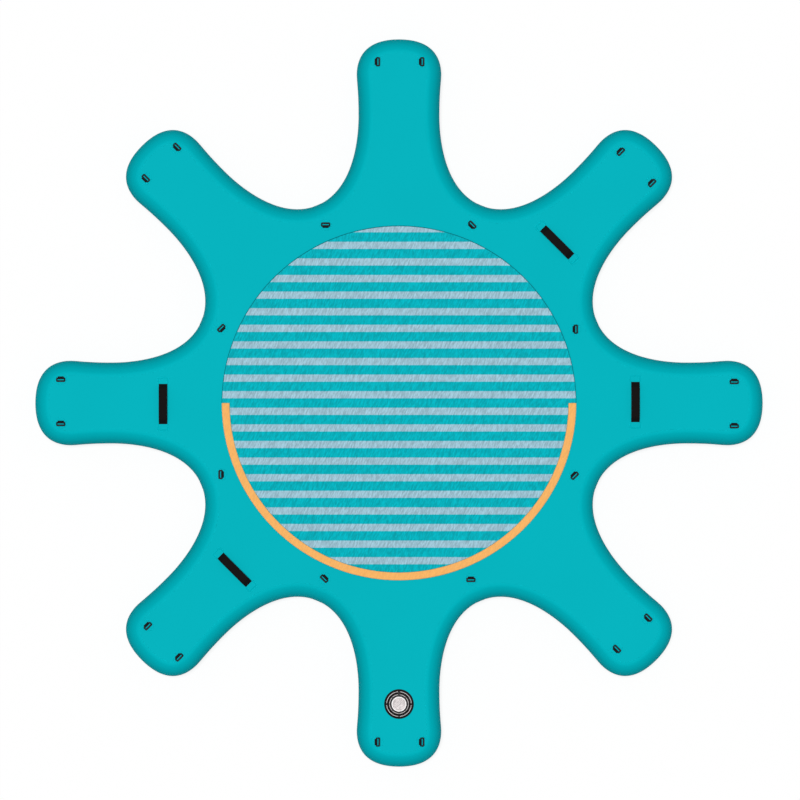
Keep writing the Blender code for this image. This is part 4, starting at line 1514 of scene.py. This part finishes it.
    def build_leash(self) -> None:
        """Makes the leash's ring, its bending tab and the boss that holds it."""
        half, low, high = self.leash_width / 2, self.leash_foot, self.leash_top
        side = math.degrees(math.asin(half / self.leash_radius))
        outline = arc(self.leash_radius, 90 + side, 450 - side, 96)
        outline += [(half, self.leash_stub), (-half, self.leash_stub)]
        ring = plate("leash_ring", [outline, circle(self.leash_bore, 96)], low, high, 0.0002)
        self.add(ring, Slot.PLASTIC, "cap_leash", ("cap_leash",))
        across = [self.leash_width * (i / 6 - 0.5) for i in range(7)]
        reach = (self.tab_end - self.leash_stub) / self.leash_steps
        along = [self.leash_stub + reach * step for step in range(self.leash_steps + 1)]
        tab = lofted("leash_tab", [[Vector((x, y, (low + high) / 2)) for x in across] for y in along])
        modify(tab, "SOLIDIFY", thickness=high - low, offset=0.0)
        smooth(tab, 45)
        self.add(tab, Slot.PLASTIC, None)
        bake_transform(tab)
        crown = [(0.0, self.boss_top), (0.0030, self.boss_top), (0.0039, self.boss_top - 0.0002)]
        shank = [(self.boss, high), (self.boss, self.flange_foot), (0.0, self.flange_foot)]
        boss = turned("leash_boss", crown + shank, steps=48, hollow=False)
        put(boss, Matrix.Translation((0, self.boss_reach, 0)))
        self.add(boss, Slot.PLASTIC, nodes=("leash_anchor",))

    def build(self) -> None:
        """Makes the valve."""
        self.build_surround()
        self.build_housing()
        self.build_plunger()
        self.build_spring()
        self.build_cap()
        self.build_leash()


# ---- The studio ----


@dataclass
class Studio:
    """A pale floor, plain soft light and the camera straight above."""

    across: float = 3.189
    shift: tuple[float, float] = (0.004, 0.012)
    lens: float = 300.0
    sensor: float = 36.0
    plane: float = 0.085
    key: float = 2.50
    key_tilt: float = 3.5
    key_bearing: float = -45.0
    key_spread: float = 16.0
    fill: float = 0.20
    glow: float = 0.78
    floor_tone: float = 0.38
    floor_size: float = 90.0
    floor_gap: float = 0.0010

    def build_floor(self) -> None:
        """Makes the floor, which is shown near white and keeps the platform's shadow."""
        place = (0, 0, -self.floor_gap)
        plane = bpy.ops.mesh.primitive_plane_add
        floor = primitive(plane, "studio_floor", size=self.floor_size, location=place)
        graph = Graph(bpy.data.materials.new("pale_floor"))
        tone = graph.shown_over(self.floor_tone)
        grey = graph.node("ShaderNodeCombineColor", {0: tone, 1: tone, 2: tone})[0]
        matt = graph.node("ShaderNodeBsdfDiffuse", {"Color": grey})[0]
        glow = graph.node("ShaderNodeEmission", {"Color": (1, 1, 1, 1), "Strength": 1.0})[0]
        seen = graph.node("ShaderNodeMixShader", {0: graph.shown() * self.glow, 1: matt, 2: glow})[0]
        graph.node("ShaderNodeOutputMaterial", {"Surface": seen})
        floor.data.materials.append(graph.owner)

    def build_light(self) -> None:
        """Makes one broad key light and an even fill."""
        lamp = bpy.data.lights.new("key_light", "SUN")
        lamp.energy = self.key
        lamp.angle = math.radians(self.key_spread)
        tilt = Matrix.Rotation(-math.radians(self.key_tilt), 4, "X")
        key = linked("key_light", lamp)
        key.matrix_world = bearing_turn(self.key_bearing) @ tilt @ Matrix.Translation((0, 0, 6))
        world = bpy.data.worlds.new("studio")
        graph = Graph(world)
        sky = {"Color": (1, 1, 1, 1), "Strength": graph.shown_over(self.fill)}
        graph.node("ShaderNodeOutputWorld", {"Surface": graph.node("ShaderNodeBackground", sky)[0]})
        bpy.context.scene.world = world

    def build_camera(self) -> None:
        """Puts the camera over the platform, with arm 1 at the top of the frame."""
        lens = bpy.data.cameras.new("overhead")
        lens.lens = self.lens
        lens.sensor_width = self.sensor
        camera = linked("overhead", lens)
        camera.location = (*self.shift, self.plane + self.across * self.lens / self.sensor)
        bpy.context.scene.camera = camera

    def build(self) -> None:
        """Sets the scene."""
        self.build_camera()
        self.build_floor()
        self.build_light()
        bpy.context.scene.view_settings.view_transform = "Standard"


def main() -> None:
    """Dresses the platform, piece by piece, and sets its light and camera."""
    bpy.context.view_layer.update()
    Studio().build()
    wardrobe = Wardrobe()
    hull = Hull(wardrobe, StarOutline())
    hull.build()
    DeckPad(wardrobe).build()
    TieDowns(wardrobe, hull).build()
    for arm in HANDLES:
        CarryHandle(wardrobe, arm).build()
    AirValve(wardrobe).build()


if __name__ == "__main__":
    logging.basicConfig(level=logging.INFO, format="%(name)s: %(message)s")
    main()
